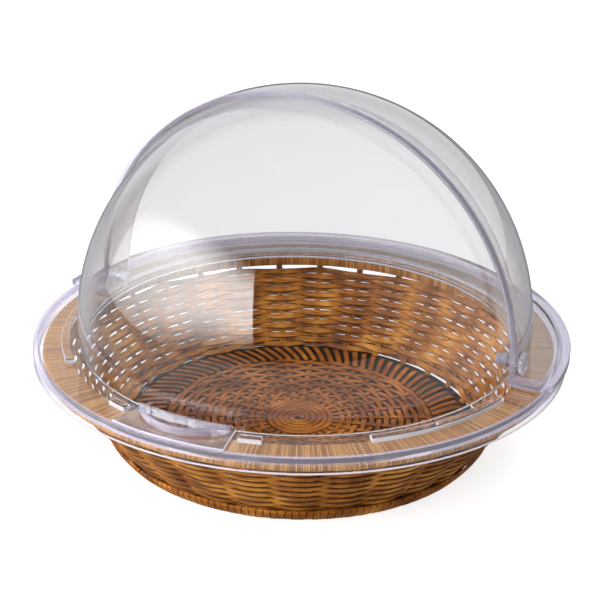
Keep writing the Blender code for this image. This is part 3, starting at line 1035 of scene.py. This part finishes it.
@dataclass
class WovenFloor:
    """The round mat of the floor and the turned-in ends between it and the wall."""

    finishes: Finishes
    middle: float = 2.5 * MM
    spoke_start: float = 26 * MM
    spoke_inset: float = 0.5 * MM
    spoke_width: float = 4.6 * MM
    spoke_steps: int = 6
    layer: float = 1.1 * MM
    swing: float = 1.1 * MM
    strand_width: float = 4.3 * MM
    pitch: float = 5.7 * MM
    past_spokes: float = 3.0 * MM
    edge_inset: float = 0.4 * MM
    steps: int = 6
    coil_start: float = 2.6 * MM
    coil_pitch: float = 4.4 * MM
    coil_width: float = 4.2 * MM
    coil_rise: float = 0.7 * MM
    coil_steps: int = 40
    coil_stops: int = 220
    underlay_low: float = 0.3 * MM
    underlay_steps: int = 124
    backing: float = 0.5 * MM
    backing_reach: float = 1.0 * MM
    border_count: int = 93
    border_slant: float = 22.0
    border_width: float = 5.2 * MM
    border_thickness: float = 1.2 * MM
    border_inner: float = 102.5 * MM
    border_outer: float = 132.4 * MM
    border_height: float = 2.35 * MM
    border_bulge: float = 0.85 * MM
    border_half_steps: int = 3
    base_low: float = 1.0 * MM
    base_high: float = 1.9 * MM
    base_chamfer: float = 0.4 * MM
    skirt_overlap: float = 4.0 * MM
    skirt_top: float = 0.75 * MM
    skirt_outer: float = 138.3 * MM

    def build(self) -> None:
        """Builds, dresses and seats the mat and its border."""
        self.mat()
        self.border()

    def underlay(
        self, name: str, outline: Sequence[Point], closed: bool = True
    ) -> bpy.types.Object:
        """Turns a flat ring or disc that lies under the weave and dresses it in painted shade."""
        piece = turned(name, outline, self.underlay_steps, closed)
        piece.data.uv_layers.new(name="strand")
        return dress(piece, self.finishes.underlay_painted_shade)

    def mat(self) -> None:
        """Weaves one strand round the spokes, from a coiled centre out."""
        up = Vector((0, 0, 1))
        spoke_end = PLAN.mat_radius - self.spoke_inset
        spokes = []
        for index in range(PLAN.stake_count):
            angle = PLAN.stake_angle(index)
            side = polar(1, angle + math.pi / 2, 0)
            line = []
            for step in range(self.spoke_steps + 1):
                reach = (spoke_end - self.spoke_start) * step / self.spoke_steps
                place = polar(self.spoke_start + reach, angle, self.middle)
                line.append(Stop(place, side, up))
            spokes.append(strand("spoke", line, self.spoke_width, self.layer))
        start = self.spoke_start + self.past_spokes
        end = PLAN.mat_radius - self.strand_width / 2 - self.edge_inset
        turns = int((end - start) / self.pitch) + 2
        stops = []
        for step in range(turns * PLAN.stake_count * self.steps + 1):
            turn = step / self.steps
            angle = PLAN.stake_angle(turn)
            radius = min(start + self.pitch * turn / PLAN.stake_count, end)
            height = self.middle + self.swing * math.cos(math.pi * turn)
            stops.append(Stop(polar(radius, angle, height), polar(1, angle, 0), up))
        weaver = strand("mat_weaver", stops, self.strand_width, self.layer)
        coil = []
        for step in range(self.coil_stops):
            angle = math.tau * step / self.coil_steps
            radius = self.coil_start + self.coil_pitch * step / self.coil_steps
            place = polar(radius, angle, self.middle + self.coil_rise)
            coil.append(Stop(place, polar(1, angle, 0), up))
        centre = strand("mat_centre", coil, self.coil_width, self.layer)
        low, high = self.underlay_low, self.underlay_low + self.backing
        edge = PLAN.mat_radius + self.backing_reach
        outline = [(0.0, high), (edge, high), (edge, low), (0.0, low)]
        parts = [dress(part, self.finishes.floor_cane_in_shade) for part in (weaver, centre, *spokes)]
        parts.append(self.underlay("mat_backing", outline, closed=False))
        piece = joined("floor_mat_weave", parts)
        seat(piece, Body.BASKET, ["floor_mat"])

    def border(self) -> None:
        """Lays the slanted ends side by side over a flat ring."""
        inner, outer = PLAN.mat_radius + PLAN.gap, self.border_outer
        base = self.underlay(
            "border_base",
            [
                (inner, self.base_low),
                (inner, self.base_high),
                (outer, self.base_high),
                (outer - self.base_chamfer, self.base_low),
            ],
        )
        inner = outer - self.skirt_overlap
        skirt = self.underlay(
            "border_skirt",
            [
                (inner, self.underlay_low),
                (inner, self.skirt_top),
                (self.skirt_outer, self.skirt_top),
                (self.skirt_outer, self.underlay_low),
            ],
        )
        slant = math.radians(self.border_slant)
        centre = (self.border_inner + outer) / 2
        half = (outer - self.border_inner) / 2 / math.cos(slant) - self.border_width / 2
        side, up = Vector((-math.sin(slant), math.cos(slant), 0)), Vector((0, 0, 1))
        parts = []
        for index in range(self.border_count):
            stops = []
            for step in range(2 * self.border_half_steps + 1):
                share = step / self.border_half_steps - 1
                height = self.border_height + self.border_bulge * (1 - share * share)
                off_centre = share * half
                along = centre + off_centre * math.cos(slant)
                stops.append(Stop(Vector((along, off_centre * math.sin(slant), height)), side, up))
            end = strand("border_end", stops, self.border_width, self.border_thickness)
            end.data.transform(Matrix.Rotation(math.tau * index / self.border_count, 4, "Z"))
            parts.append(dress(end, self.finishes.floor_cane_in_shade))
        parts += [base, skirt]
        piece = joined("floor_border_ends", parts)
        seat(piece, Body.BASKET, ["floor_border"])


def sector(inner: float, outer: float, start: float, end: float, steps: int) -> list[Point]:
    """Outline in XY of a part of a ring, from its radii and its angles in degrees."""
    return arc((0, 0), outer, start, end, steps) + arc((0, 0), inner, end, start, steps)


def shell_line(radius: float, foot: float, downward: bool, steps: int) -> list[Point]:
    """Dome outline between its crown and its foot, about the pivots' height."""
    low = math.degrees(math.asin((foot - PLAN.pivot_height) / radius))
    points = arc((0, PLAN.pivot_height), radius, 90, low, steps)
    points[0] = (0.0, PLAN.pivot_height + radius)
    return points if downward else points[::-1]


def dress_clear(
    piece: bpy.types.Object,
    wall: bpy.types.Material,
    finishes: Finishes,
    kind: Callable[[Vector, Vector], Face],
) -> bpy.types.Object:
    """Gives each face of a clear moulding its own finish.

    Args:
        piece: the bare moulding.
        wall: the finish of its polished walls.
        finishes: where its two edge finishes come from.
        kind: takes a face's middle and its normal and says which finish it has.

    Returns:
        The dressed moulding, shaded smooth.
    """
    dress(piece, wall, finishes.clear_edge, finishes.painted_highlight_edge)
    for polygon in piece.data.polygons:
        polygon.material_index = kind(polygon.center, polygon.normal).value
    return smooth(piece, 32)


@dataclass
class ClearRing:
    """The clear moulded ring on the rim, with its lip, its skirt and four ribs."""

    finishes: Finishes
    steps: int = 240
    skirt: float = 6.5 * MM
    bead: float = 0.7 * MM
    chamfer: float = 0.5 * MM
    bore: float = 160.0 * MM
    rib_inset: float = 23.0 * MM
    rib_width: float = 6.0 * MM
    rib_height: float = 3.5 * MM
    rib_root: float = 1.2 * MM
    rib_round: float = 1.0 * MM
    rib_step: float = 1.5
    ribs: tuple[tuple[float, float], ...] = ((-48, -12), (-76, -71), (-168, -132), (-109, -104))

    def build(self) -> None:
        """Turns the ring, adds its ribs and marks its thick edges."""
        top = PLAN.ring_top + PLAN.lip_height
        foot = PLAN.ring_underside - self.skirt
        shoulder = (PLAN.ring_radius - PLAN.moulded_corner, top - PLAN.moulded_corner)
        inside = (PLAN.lip_inner_radius + self.bead, top - self.bead)
        hollow = (PLAN.lip_inner_radius - PLAN.lip_fillet, PLAN.ring_top + PLAN.lip_fillet)
        outline = [
            *arc(inside, self.bead, 180, 90, 3),
            *arc(shoulder, PLAN.moulded_corner, 90, 0, 6),
            (PLAN.ring_radius, PLAN.ring_underside),
            (PLAN.ring_radius, foot + self.chamfer),
            (PLAN.ring_radius - self.chamfer, foot),
            (PLAN.lip_inner_radius + self.chamfer, foot),
            (PLAN.lip_inner_radius, foot + self.chamfer),
            (PLAN.lip_inner_radius, PLAN.ring_underside),
            (self.bore + self.chamfer, PLAN.ring_underside),
            (self.bore, PLAN.ring_underside + self.chamfer),
            (self.bore, PLAN.ring_top - self.chamfer),
            (self.bore + self.chamfer, PLAN.ring_top),
            *arc(hollow, PLAN.lip_fillet, -90, 0, 5),
        ]
        ring = turned("clear_base_ring", outline, self.steps)
        inner = PLAN.lip_inner_radius - self.rib_inset
        low, high = PLAN.ring_top - self.rib_root, PLAN.ring_top + self.rib_height
        ribs = []
        for start, end in self.ribs:
            steps = max(4, round(abs(end - start) / self.rib_step))
            edge = sector(inner, inner + self.rib_width, start, end, steps)
            ribs.append(plate("rib", edge, low, high, self.rib_round))
        combine(ring, ribs, "UNION")
        dress_clear(ring, self.finishes.clear_ring, self.finishes, self.face_kind)
        seat(ring, Body.COVER, ["base_ring"])

    def face_kind(self, middle: Vector, normal: Vector) -> Face:
        """The lilac edge finish, painted light, on the lip; a painted highlight along the skirt's
        foot and the ribs' sides.
        """
        radius = math.hypot(middle.x, middle.y)
        if radius > PLAN.lip_inner_radius - PLAN.lip_fillet:
            if middle.z < PLAN.ring_underside - self.skirt + self.chamfer + NEAR:
                return Face.BRIGHT
            return Face.EDGE if middle.z > PLAN.ring_underside + NEAR else Face.WALL
        inner = PLAN.lip_inner_radius - self.rib_inset
        on_rib = inner - NEAR < radius < inner + self.rib_width + NEAR
        on_side = middle.z > PLAN.ring_top + NEAR and abs(normal.z) < 0.35
        return Face.BRIGHT if on_rib and on_side else Face.WALL


@dataclass
class RearDome:
    """The clear rear shell with its half flange, its front arch and a fin at each end."""

    finishes: Finishes
    steps: int = 192
    dome_steps: int = 56
    front: float = -14.0 * MM
    arch_depth: float = 3.4 * MM
    arch_proud: float = 1.3 * MM
    arch_round: float = 0.5 * MM
    rim_start: float = 0.4 * MM
    arch_steps: int = 120
    flange: float = 2.5 * MM
    flange_lip: float = 5.0 * MM
    flange_proud: float = 1.9 * MM
    pad_radius: float = 8.2 * MM

    def build(self) -> None:
        """Turns the shell, cuts its front off and adds the arch and the pads."""
        dome = turned("clear_rear_dome", self.outline(), self.steps, closed=False)
        take(dome)
        bpy.ops.object.mode_set(mode="EDIT")
        bpy.ops.mesh.select_all(action="SELECT")
        middle = self.front + self.arch_depth / 2
        bpy.ops.mesh.bisect(
            plane_co=(0, middle, 0), plane_no=(0, 1, 0), use_fill=True, clear_inner=True
        )
        settle(dome)
        half = self.arch_depth / 2
        arch = plate("arch", self.arch_line(), -half, half, self.arch_round)
        upright = Matrix.Rotation(math.pi / 2, 4, "X")
        lay_in_mesh(arch, Matrix.Translation((0, middle, 0)) @ upright)
        reach = (PLAN.dome_inner_radius - PLAN.pad_proud, PLAN.dome_radius + PLAN.pad_proud)
        combine(dome, [arch, *pads(self.pad_radius, *reach)], "UNION")
        combine(dome, [bore(PLAN.pin_radius + PLAN.gap)], "DIFFERENCE")
        dress_clear(dome, self.finishes.clear_wall, self.finishes, self.face_kind)
        seat(dome, Body.COVER, ["rear_dome"])

    def face_kind(self, middle: Vector, normal: Vector) -> Face:
        """The lilac edge finish, painted light, on the arch's front and rim, on the fins and on top
        of the flange's lip.
        """
        lip_top = PLAN.cover_seat + self.flange + self.flange_lip
        if middle.y < self.front + self.arch_depth + NEAR:
            rise = math.hypot(middle.x, middle.z - PLAN.pivot_height)
            outer = math.sqrt(PLAN.dome_radius**2 - self.front**2)
            on_rim = rise > outer + self.rim_start and abs(normal.y) < 0.7
            return Face.EDGE if normal.y < -0.5 or on_rim else Face.WALL
        on_top = lip_top - 0.7 * PLAN.moulded_corner < middle.z < lip_top + NEAR
        return Face.EDGE if on_top and normal.z > 0.6 else Face.WALL

    def outline(self) -> list[Point]:
        """Half section of the shell and its flange, from the crown down and back up."""
        top = PLAN.cover_seat + self.flange
        lip_top = top + self.flange_lip
        outer = PLAN.ring_radius + PLAN.gap + self.flange_proud
        wall = PLAN.lip_inner_radius - PLAN.gap - self.flange
        hollow = (wall - self.flange_lip, lip_top)
        shoulder = (outer - PLAN.moulded_corner, lip_top - PLAN.moulded_corner)
        under = (PLAN.lip_inner_radius - PLAN.lip_fillet, PLAN.ring_top + PLAN.lip_fillet)
        return [
            *shell_line(PLAN.dome_radius, top, True, self.dome_steps),
            *arc(hollow, self.flange_lip, -90, 0, 8),
            *arc(shoulder, PLAN.moulded_corner, 90, 0, 5),
            (outer, PLAN.ring_top + PLAN.lip_fillet),
            (PLAN.ring_radius + PLAN.gap, PLAN.ring_top + PLAN.lip_fillet),
            (PLAN.ring_radius + PLAN.gap, lip_top - self.flange),
            (PLAN.lip_inner_radius - PLAN.gap, lip_top - self.flange),
            *arc(under, PLAN.lip_fillet - PLAN.gap, 0, -90, 5),
            *shell_line(PLAN.dome_inner_radius, PLAN.cover_seat, False, self.dome_steps),
        ]

    def arch_line(self) -> list[Point]:
        """Outline in XZ of the arch and its two fins."""
        fin_top = PLAN.cover_seat + self.flange + self.flange_lip
        fin_reach = math.sqrt(PLAN.ring_radius**2 - self.front**2) + self.flange_proud
        hollow = PLAN.lip_inner_radius - PLAN.lip_fillet
        fin_step = math.sqrt(hollow**2 - self.front**2) - 2 * PLAN.lip_fillet
        lip_clear = PLAN.ring_top + PLAN.lip_height + 2 * PLAN.gap
        outer = math.sqrt(PLAN.dome_radius**2 - self.front**2) + self.arch_proud
        inner = math.sqrt(PLAN.dome_inner_radius**2 - self.front**2)
        first = math.degrees(math.asin((fin_top - PLAN.pivot_height) / outer))
        second = math.degrees(math.asin((PLAN.cover_seat - PLAN.pivot_height) / inner))
        centre = (0.0, PLAN.pivot_height)
        right = [
            (fin_step, PLAN.cover_seat),
            (fin_step + 2 * PLAN.lip_fillet, lip_clear),
            (fin_reach, lip_clear),
            (fin_reach, fin_top),
        ]
        left = [(-x, z) for x, z in reversed(right)]
        return [
            *right,
            *arc(centre, outer, first, 180 - first, self.arch_steps),
            *left,
            *arc(centre, inner, 180 - second, second, self.arch_steps),
        ]


def pads(radius: float, start: float, end: float) -> list[bpy.types.Object]:
    """The round moulded pads about the pivots, from one distance off the middle to another.

    Args:
        radius: the pads' radius.
        start: distance of their inner face from the middle.
        end: distance of their outer face from the middle.

    Returns:
        The right and the left pad.
    """
    chamfer = 0.3 * MM
    outline = [
        (0.0, start),
        (radius, start),
        (radius, end - chamfer),
        (radius - chamfer, end),
        (0.0, end),
    ]
    made = []
    for side in Side:
        pad = turned(f"pad_{side.name.lower()}", outline, ROUND_STEPS, closed=False)
        made.append(on_pivots(pad, side))
    return made


def bore(radius: float) -> bpy.types.Object:
    """A round cutter along the pivots' axis, longer than the cover is wide."""
    reach = PLAN.ring_radius + 20 * MM
    outline = [(0.0, -reach), (radius, -reach), (radius, reach), (0.0, reach)]
    return on_pivots(turned("bore", outline, ROUND_STEPS, closed=False))


@dataclass
class FrontLid:
    """The clear front shell that rolls up, with its handle tab and hood."""

    finishes: Finishes
    steps: int = 192
    dome_steps: int = 56
    rear: float = 12.0 * MM
    wall: float = 2.5 * MM
    hinge_corner: float = 12.7 * MM
    hinge_corner_steps: int = 16
    pad_radius: float = 7.0 * MM
    hole_clearance: float = 0.4 * MM
    handle_half_angle: float = 12.5
    handle_steps: int = 24
    tab: float = 2.0 * MM
    tab_round: float = 0.5 * MM
    hood_inset: float = 4.0 * MM
    hood_depth: float = 17.0 * MM
    hood_height: float = 7.0 * MM
    hood_wall: float = 1.6 * MM
    hood_round: float = 2.0 * MM
    hood_end: float = 2.5 * MM
    hood_top_round: float = 1.2 * MM
    hollow_top_round: float = 0.6 * MM
    hood_half_steps: int = 16

    def build(self) -> None:
        """Turns the shell, cuts it behind the pivots and adds the handle."""
        outline = [
            *shell_line(PLAN.lid_radius, PLAN.cover_seat, True, self.dome_steps),
            *shell_line(PLAN.lid_inner_radius, PLAN.cover_seat, False, self.dome_steps),
        ]
        lid = turned("clear_front_lid", outline, self.steps, closed=False)
        reach = (PLAN.lid_inner_radius - PLAN.pad_proud, PLAN.lid_radius + PLAN.pad_proud)
        combine(lid, pads(self.pad_radius, *reach), "UNION")
        hole = bore(PLAN.pin_radius + self.hole_clearance)
        combine(lid, [self.rear_cutter(), hole], "DIFFERENCE")
        combine(lid, [self.handle()], "UNION")
        dress_clear(lid, self.finishes.clear_wall, self.finishes, self.face_kind)
        seat(lid, Body.LID, ["front_lid"])

    def face_kind(self, middle: Vector, normal: Vector) -> Face:
        """The lilac edge finish, painted light, on the lid's rear edge; a painted highlight on the
        sides of the handle.
        """
        radius = math.hypot(middle.x, middle.y)
        hood_top = PLAN.cover_seat + self.hood_height
        if radius > PLAN.lid_radius and middle.z < hood_top + NEAR:
            if abs(normal.z) > 0.8:
                return Face.WALL
            return Face.BRIGHT if middle.z < PLAN.cover_seat + self.tab else Face.EDGE
        on_rear = normal.y > 0.95 and middle.y > self.rear - NEAR
        return Face.EDGE if on_rear else Face.WALL

    def rear_cutter(self) -> bpy.types.Object:
        """What is cut away behind the lid, round the hinge corner and up the rear edge."""
        reach = PLAN.dome_radius
        corner = -math.degrees(math.acos(self.rear / self.hinge_corner))
        outline = [
            (0.0, -reach),
            *arc((0, 0), self.hinge_corner, -90, corner, self.hinge_corner_steps),
            (self.rear, reach + MM),
            (reach, reach + MM),
            (reach, -reach),
        ]
        cutter = plate("rear_cutter", outline, -reach, reach)
        turn = Matrix(((0, 0, 1, 0), (1, 0, 0, 0), (0, 1, 0, PLAN.pivot_height), (0, 0, 0, 1)))
        return lay_in_mesh(cutter, turn)

    def handle(self) -> bpy.types.Object:
        """The tab over the ring, with a crescent hood that is open underneath."""
        rise = PLAN.pivot_height - PLAN.cover_seat
        edge = math.sqrt(PLAN.lid_radius**2 - rise**2) - self.wall / 2
        start, end = -90 - self.handle_half_angle, -90 + self.handle_half_angle
        reach = PLAN.lip_inner_radius - PLAN.lip_fillet
        outline = sector(edge, reach, start, end, self.handle_steps)
        low, high = PLAN.cover_seat, PLAN.cover_seat + self.hood_height
        tab = plate("tab", outline, low, low + self.tab, self.tab_round)
        hood = plate("hood", self.crescent(0.0), low, high, self.hood_top_round)
        inside, ceiling = self.crescent(self.hood_wall), high - self.hood_wall
        hollow = plate("hollow", inside, low - MM, ceiling, self.hollow_top_round)
        combine(tab, [hood], "UNION")
        return combine(tab, [hollow], "DIFFERENCE")

    def crescent(self, inset: float) -> list[Point]:
        """Outline in XY of the hood, drawn in by an inset on all sides."""
        inner = PLAN.lid_radius + self.hood_inset + inset
        width = self.hood_depth - 2 * inset
        half = self.handle_half_angle - math.degrees((self.hood_end + inset) / inner)
        depth = width - self.hood_round
        outer = []
        for step in range(2 * self.hood_half_steps + 1):
            share = step / self.hood_half_steps - 1
            radius = inner + self.hood_round + depth * math.cos(share * math.pi / 2)
            outer += arc((0, 0), radius, -90 + share * half, -90 + share * half, 1)[:1]
        return outer + arc((0, 0), inner, -90 + half, -90 - half, self.handle_steps)


@dataclass
class Pivot:
    """One side's pin, washer and inner knob, turned from clear rod."""

    finishes: Finishes
    side: Side
    head_radius: float = 7.8 * MM
    head: float = 3.0 * MM
    corner: float = 1.0 * MM
    dish_depth: float = 0.5 * MM
    dish_share: float = 0.55
    dish_edge_share: float = 0.65
    washer_radius: float = 6.0 * MM
    washer_chamfer: float = 0.3 * MM
    knob_radius: float = 4.5 * MM
    knob_length: float = 8.0 * MM
    knob_cap: float = 2.0 * MM
    grip_start: float = 0.4 * MM
    grip_step: float = 0.6 * MM
    grip_depth: float = 0.5 * MM
    grip_lines: int = 11

    def build(self) -> None:
        """Turns, dresses and seats the three pieces."""
        head_face = PLAN.dome_radius + PLAN.pad_proud + PLAN.gap
        knob_face = PLAN.lid_inner_radius - PLAN.pad_proud - PLAN.gap
        knob_end = knob_face - self.knob_length
        pin_end = knob_end + self.knob_cap + PLAN.gap
        cap = (self.head_radius - self.corner, head_face + self.head - self.corner)
        dish = head_face + self.head - self.dish_depth
        pin = [
            (0.0, dish),
            (self.head_radius * self.dish_share, dish),
            (self.head_radius * self.dish_edge_share, head_face + self.head),
            *arc(cap, self.corner, 90, 0, 4),
            (self.head_radius, head_face),
            (PLAN.pin_radius, head_face),
            (PLAN.pin_radius, pin_end),
            (0.0, pin_end),
        ]
        outer = PLAN.dome_inner_radius - PLAN.pad_proud - PLAN.gap
        inner = PLAN.lid_radius + PLAN.pad_proud + PLAN.gap
        hole = PLAN.pin_radius + PLAN.gap
        washer = [
            (hole, outer),
            (self.washer_radius - self.washer_chamfer, outer),
            (self.washer_radius, outer - self.washer_chamfer),
            (self.washer_radius, inner + self.washer_chamfer),
            (self.washer_radius - self.washer_chamfer, inner),
            (hole, inner),
        ]
        grip = []
        for number in range(self.grip_lines):
            depth = self.grip_depth if number % 2 else 0.0
            along = knob_face - self.grip_step * number - self.grip_start
            grip.append((self.knob_radius - depth, along))
        knob = [
            (0.0, pin_end - PLAN.gap),
            (hole, pin_end - PLAN.gap),
            (hole, knob_face),
            (self.knob_radius - self.grip_start, knob_face),
            *grip,
            (self.knob_radius - self.corner, knob_end),
            (0.0, knob_end),
        ]
        self.piece("pin", pin, False)
        self.piece("washer", washer, True)
        self.piece("knob", knob, False)

    def piece(self, kind: str, outline: list[Point], closed: bool) -> None:
        """Turns one piece about the pivots' axis on this side and seats it on the cover."""
        side = self.side.name.lower()
        made = turned(f"turned_{kind}_{side}", outline, ROUND_STEPS, closed)
        dress(smooth(on_pivots(made, self.side), 32), self.finishes.clear_pin)
        seat(made, Body.COVER, [f"pivot_{kind}_{side}"])


@dataclass
class Studio:
    """The camera at the photograph's angle, a white floor and soft lights.

    The floor is darker for mirrored rays only, as a dark card before the object would make it,
    so that the cane keeps its own colour instead of a white sheen.
    """

    azimuth: float = 26.61
    elevation: float = 22.94
    roll: float = 0.975
    distance: float = 1.0
    aim_height: float = 0.07
    rise: float = 0.02946
    lens: float = 79.59
    sensor: float = 36.0
    floor_size: float = 60.0
    floor_drop: float = 0.2 * MM
    floor_glow: float = 0.78
    floor_glow_mirrored: float = 0.05
    softbox: float = 8.0
    top_light: float = 4.2
    front_surroundings: float = 0.1
    back_surroundings: float = 0.95

    def build(self) -> None:
        """Sets up the whole studio."""
        self.camera()
        self.floor()
        self.lights()

    def camera(self) -> None:
        """Places the camera and makes it the scene's."""
        turn, tilt, lean = (math.radians(a) for a in (self.azimuth, self.elevation, self.roll))
        back = Vector(
            (math.sin(turn) * math.cos(tilt), -math.cos(turn) * math.cos(tilt), math.sin(tilt))
        )
        right = Vector((math.cos(turn), math.sin(turn), 0))
        up = back.cross(right)
        leaned_right = right * math.cos(lean) + up * math.sin(lean)
        leaned_up = up * math.cos(lean) - right * math.sin(lean)
        data = bpy.data.cameras.new("camera")
        data.lens = self.lens
        data.sensor_width = self.sensor
        camera = bpy.data.objects.new("camera", data)
        bpy.context.scene.collection.objects.link(camera)
        rotation = Matrix((leaned_right, leaned_up, back)).transposed().to_4x4()
        place = Vector((0, 0, self.aim_height)) + back * self.distance + leaned_up * self.rise
        camera.matrix_world = Matrix.Translation(place) @ rotation
        bpy.context.scene.camera = camera

    def floor(self) -> None:
        """Adds the plain pale floor."""
        deselect_all()
        bpy.ops.mesh.primitive_plane_add(size=self.floor_size, location=(0, 0, -self.floor_drop))
        floor = added("studio_floor")
        material, tree = blank("painted_white_floor")
        ray = add_node(tree, "ShaderNodeLightPath")
        mirrored = add_node(
            tree,
            "ShaderNodeMath",
            {"operation": "MULTIPLY_ADD", 1: -0.5},
            {0: ray.outputs["Is Diffuse Ray"], 2: ray.outputs["Is Reflection Ray"]},
        )
        glow = add_node(
            tree,
            "ShaderNodeMapRange",
            {"To Min": self.floor_glow, "To Max": self.floor_glow_mirrored},
            {"Value": mirrored.outputs[0]},
        )
        paint = add_node(
            tree,
            "ShaderNodeMix",
            {"data_type": "RGBA", 6: linear("#A6A6A6"), 7: linear("#585858")},
            {0: mirrored.outputs[0]},
        )
        shader = add_node(
            tree,
            "ShaderNodeBsdfPrincipled",
            {"Roughness": 0.8, "Emission Color": (1, 1, 1, 1)},
            {"Base Color": paint.outputs[2], "Emission Strength": glow.outputs["Result"]},
        )
        add_node(tree, "ShaderNodeOutputMaterial", links={"Surface": shader.outputs[0]})
        dress(floor, material)

    def lights(self) -> None:
        """Adds the large left softbox, a soft top light and the surroundings.

        The surroundings are dim in front and bright behind, so that the clear plastic has edges,
        and plain white where the camera itself sees past the floor.
        """
        world = bpy.data.worlds.new("studio")
        world.use_nodes = True
        tree = world.node_tree
        around = add_node(tree, "ShaderNodeTexCoord")
        parts = add_node(tree, "ShaderNodeSeparateXYZ", links={0: around.outputs["Generated"]})
        rise = add_node(
            tree,
            "ShaderNodeMapRange",
            {
                "From Min": -0.5,
                "From Max": 0.6,
                "To Min": self.front_surroundings,
                "To Max": self.back_surroundings,
            },
            {"Value": parts.outputs["Y"]},
        )
        ray = add_node(tree, "ShaderNodeLightPath")
        seen = add_node(
            tree,
            "ShaderNodeMath",
            {"operation": "MAXIMUM"},
            {0: rise.outputs["Result"], 1: ray.outputs["Is Camera Ray"]},
        )
        back = tree.nodes["Background"]
        back.inputs["Color"].default_value = (1, 1, 1, 1)
        tree.links.new(seen.outputs[0], back.inputs["Strength"])
        bpy.context.scene.world = world
        place, aim, size = (-1.12, -1.16, 0.8), (0, 0, 0.8), (3.4, 1.9)
        left = self.panel("left_softbox", place, aim, size, self.softbox, 14)
        self.fade(left.data)
        place, aim, size = (0.3, 0.2, 1.9), (0, 0, 0), (1.6, 1.6)
        top = self.panel("top_softbox", place, aim, size, self.top_light, 0)
        top.visible_glossy = False
        top.visible_transmission = False

    def fade(self, light: bpy.types.AreaLight) -> None:
        """Lets a softbox grow dimmer towards its foot and its top, as a lamp behind cloth does."""
        light.use_nodes = True
        tree = light.node_tree
        face = add_node(tree, "ShaderNodeNewGeometry")
        parts = add_node(tree, "ShaderNodeSeparateXYZ", links={0: face.outputs["Parametric"]})
        glow = add_node(
            tree,
            "ShaderNodeValToRGB",
            links={"Fac": parts.outputs["Y"]},
            stops=((0.0, "#000000"), (1.0, "#000000"), (0.35, "#FFFFFF"), (0.6, "#FFFFFF")),
        )
        glow.color_ramp.interpolation = "EASE"
        reach = add_node(
            tree,
            "ShaderNodeMapRange",
            {
                "interpolation_type": "SMOOTHSTEP",
                "From Min": 0.0,
                "From Max": 0.6,
                "To Min": 0.15,
                "To Max": 1.0,
            },
            {"Value": parts.outputs["X"]},
        )
        lamp = next(node for node in tree.nodes if node.type == "EMISSION")
        tree.links.new(glow.outputs["Color"], lamp.inputs["Color"])
        tree.links.new(reach.outputs["Result"], lamp.inputs["Strength"])

    def panel(
        self,
        name: str,
        place: tuple[float, float, float],
        target: tuple[float, float, float],
        size: tuple[float, float],
        radiance: float,
        lean: float,
    ) -> bpy.types.Object:
        """Adds one soft panel.

        Args:
            name: the light's name.
            place: its middle.
            target: where it points.
            size: its width and height.
            radiance: how bright its face is, where the white floor is about 1.
            lean: degrees that it leans in its own plane.

        Returns:
            The light.
        """
        data = bpy.data.lights.new(name, "AREA")
        data.shape = "RECTANGLE"
        data.size, data.size_y = size
        data.energy = radiance * math.pi * size[0] * size[1]
        light = bpy.data.objects.new(name, data)
        bpy.context.scene.collection.objects.link(light)
        light.location = place
        direction = Vector(target) - Vector(place)
        turn = direction.to_track_quat("-Z", "Y").to_matrix()
        light.rotation_euler = (turn @ Matrix.Rotation(math.radians(lean), 3, "Z")).to_euler()
        return light


def corners(box: tuple[Vector, Vector]) -> list[list[float]]:
    """A box's two corners as plain lists."""
    return [list(corner) for corner in box]


def main() -> None:
    """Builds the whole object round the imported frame."""
    logging.basicConfig(level=logging.INFO, format="%(name)s %(message)s")
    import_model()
    scene = bpy.context.scene
    scene.view_settings.view_transform = "Standard"
    scene.cycles.transparent_max_bounces = 32
    scene.cycles.max_bounces = 24
    scene.cycles.transmission_bounces = 24
    Studio().build()
    finishes = Finishes()
    WovenWall(finishes).build()
    WrappedRim(finishes).build()
    FootBorder(finishes).build()
    WovenFloor(finishes).build()
    ClearRing(finishes).build()
    RearDome(finishes).build()
    FrontLid(finishes).build()
    for side in Side:
        Pivot(finishes, side).build()
    deselect_all()


if __name__ == "__main__":
    main()
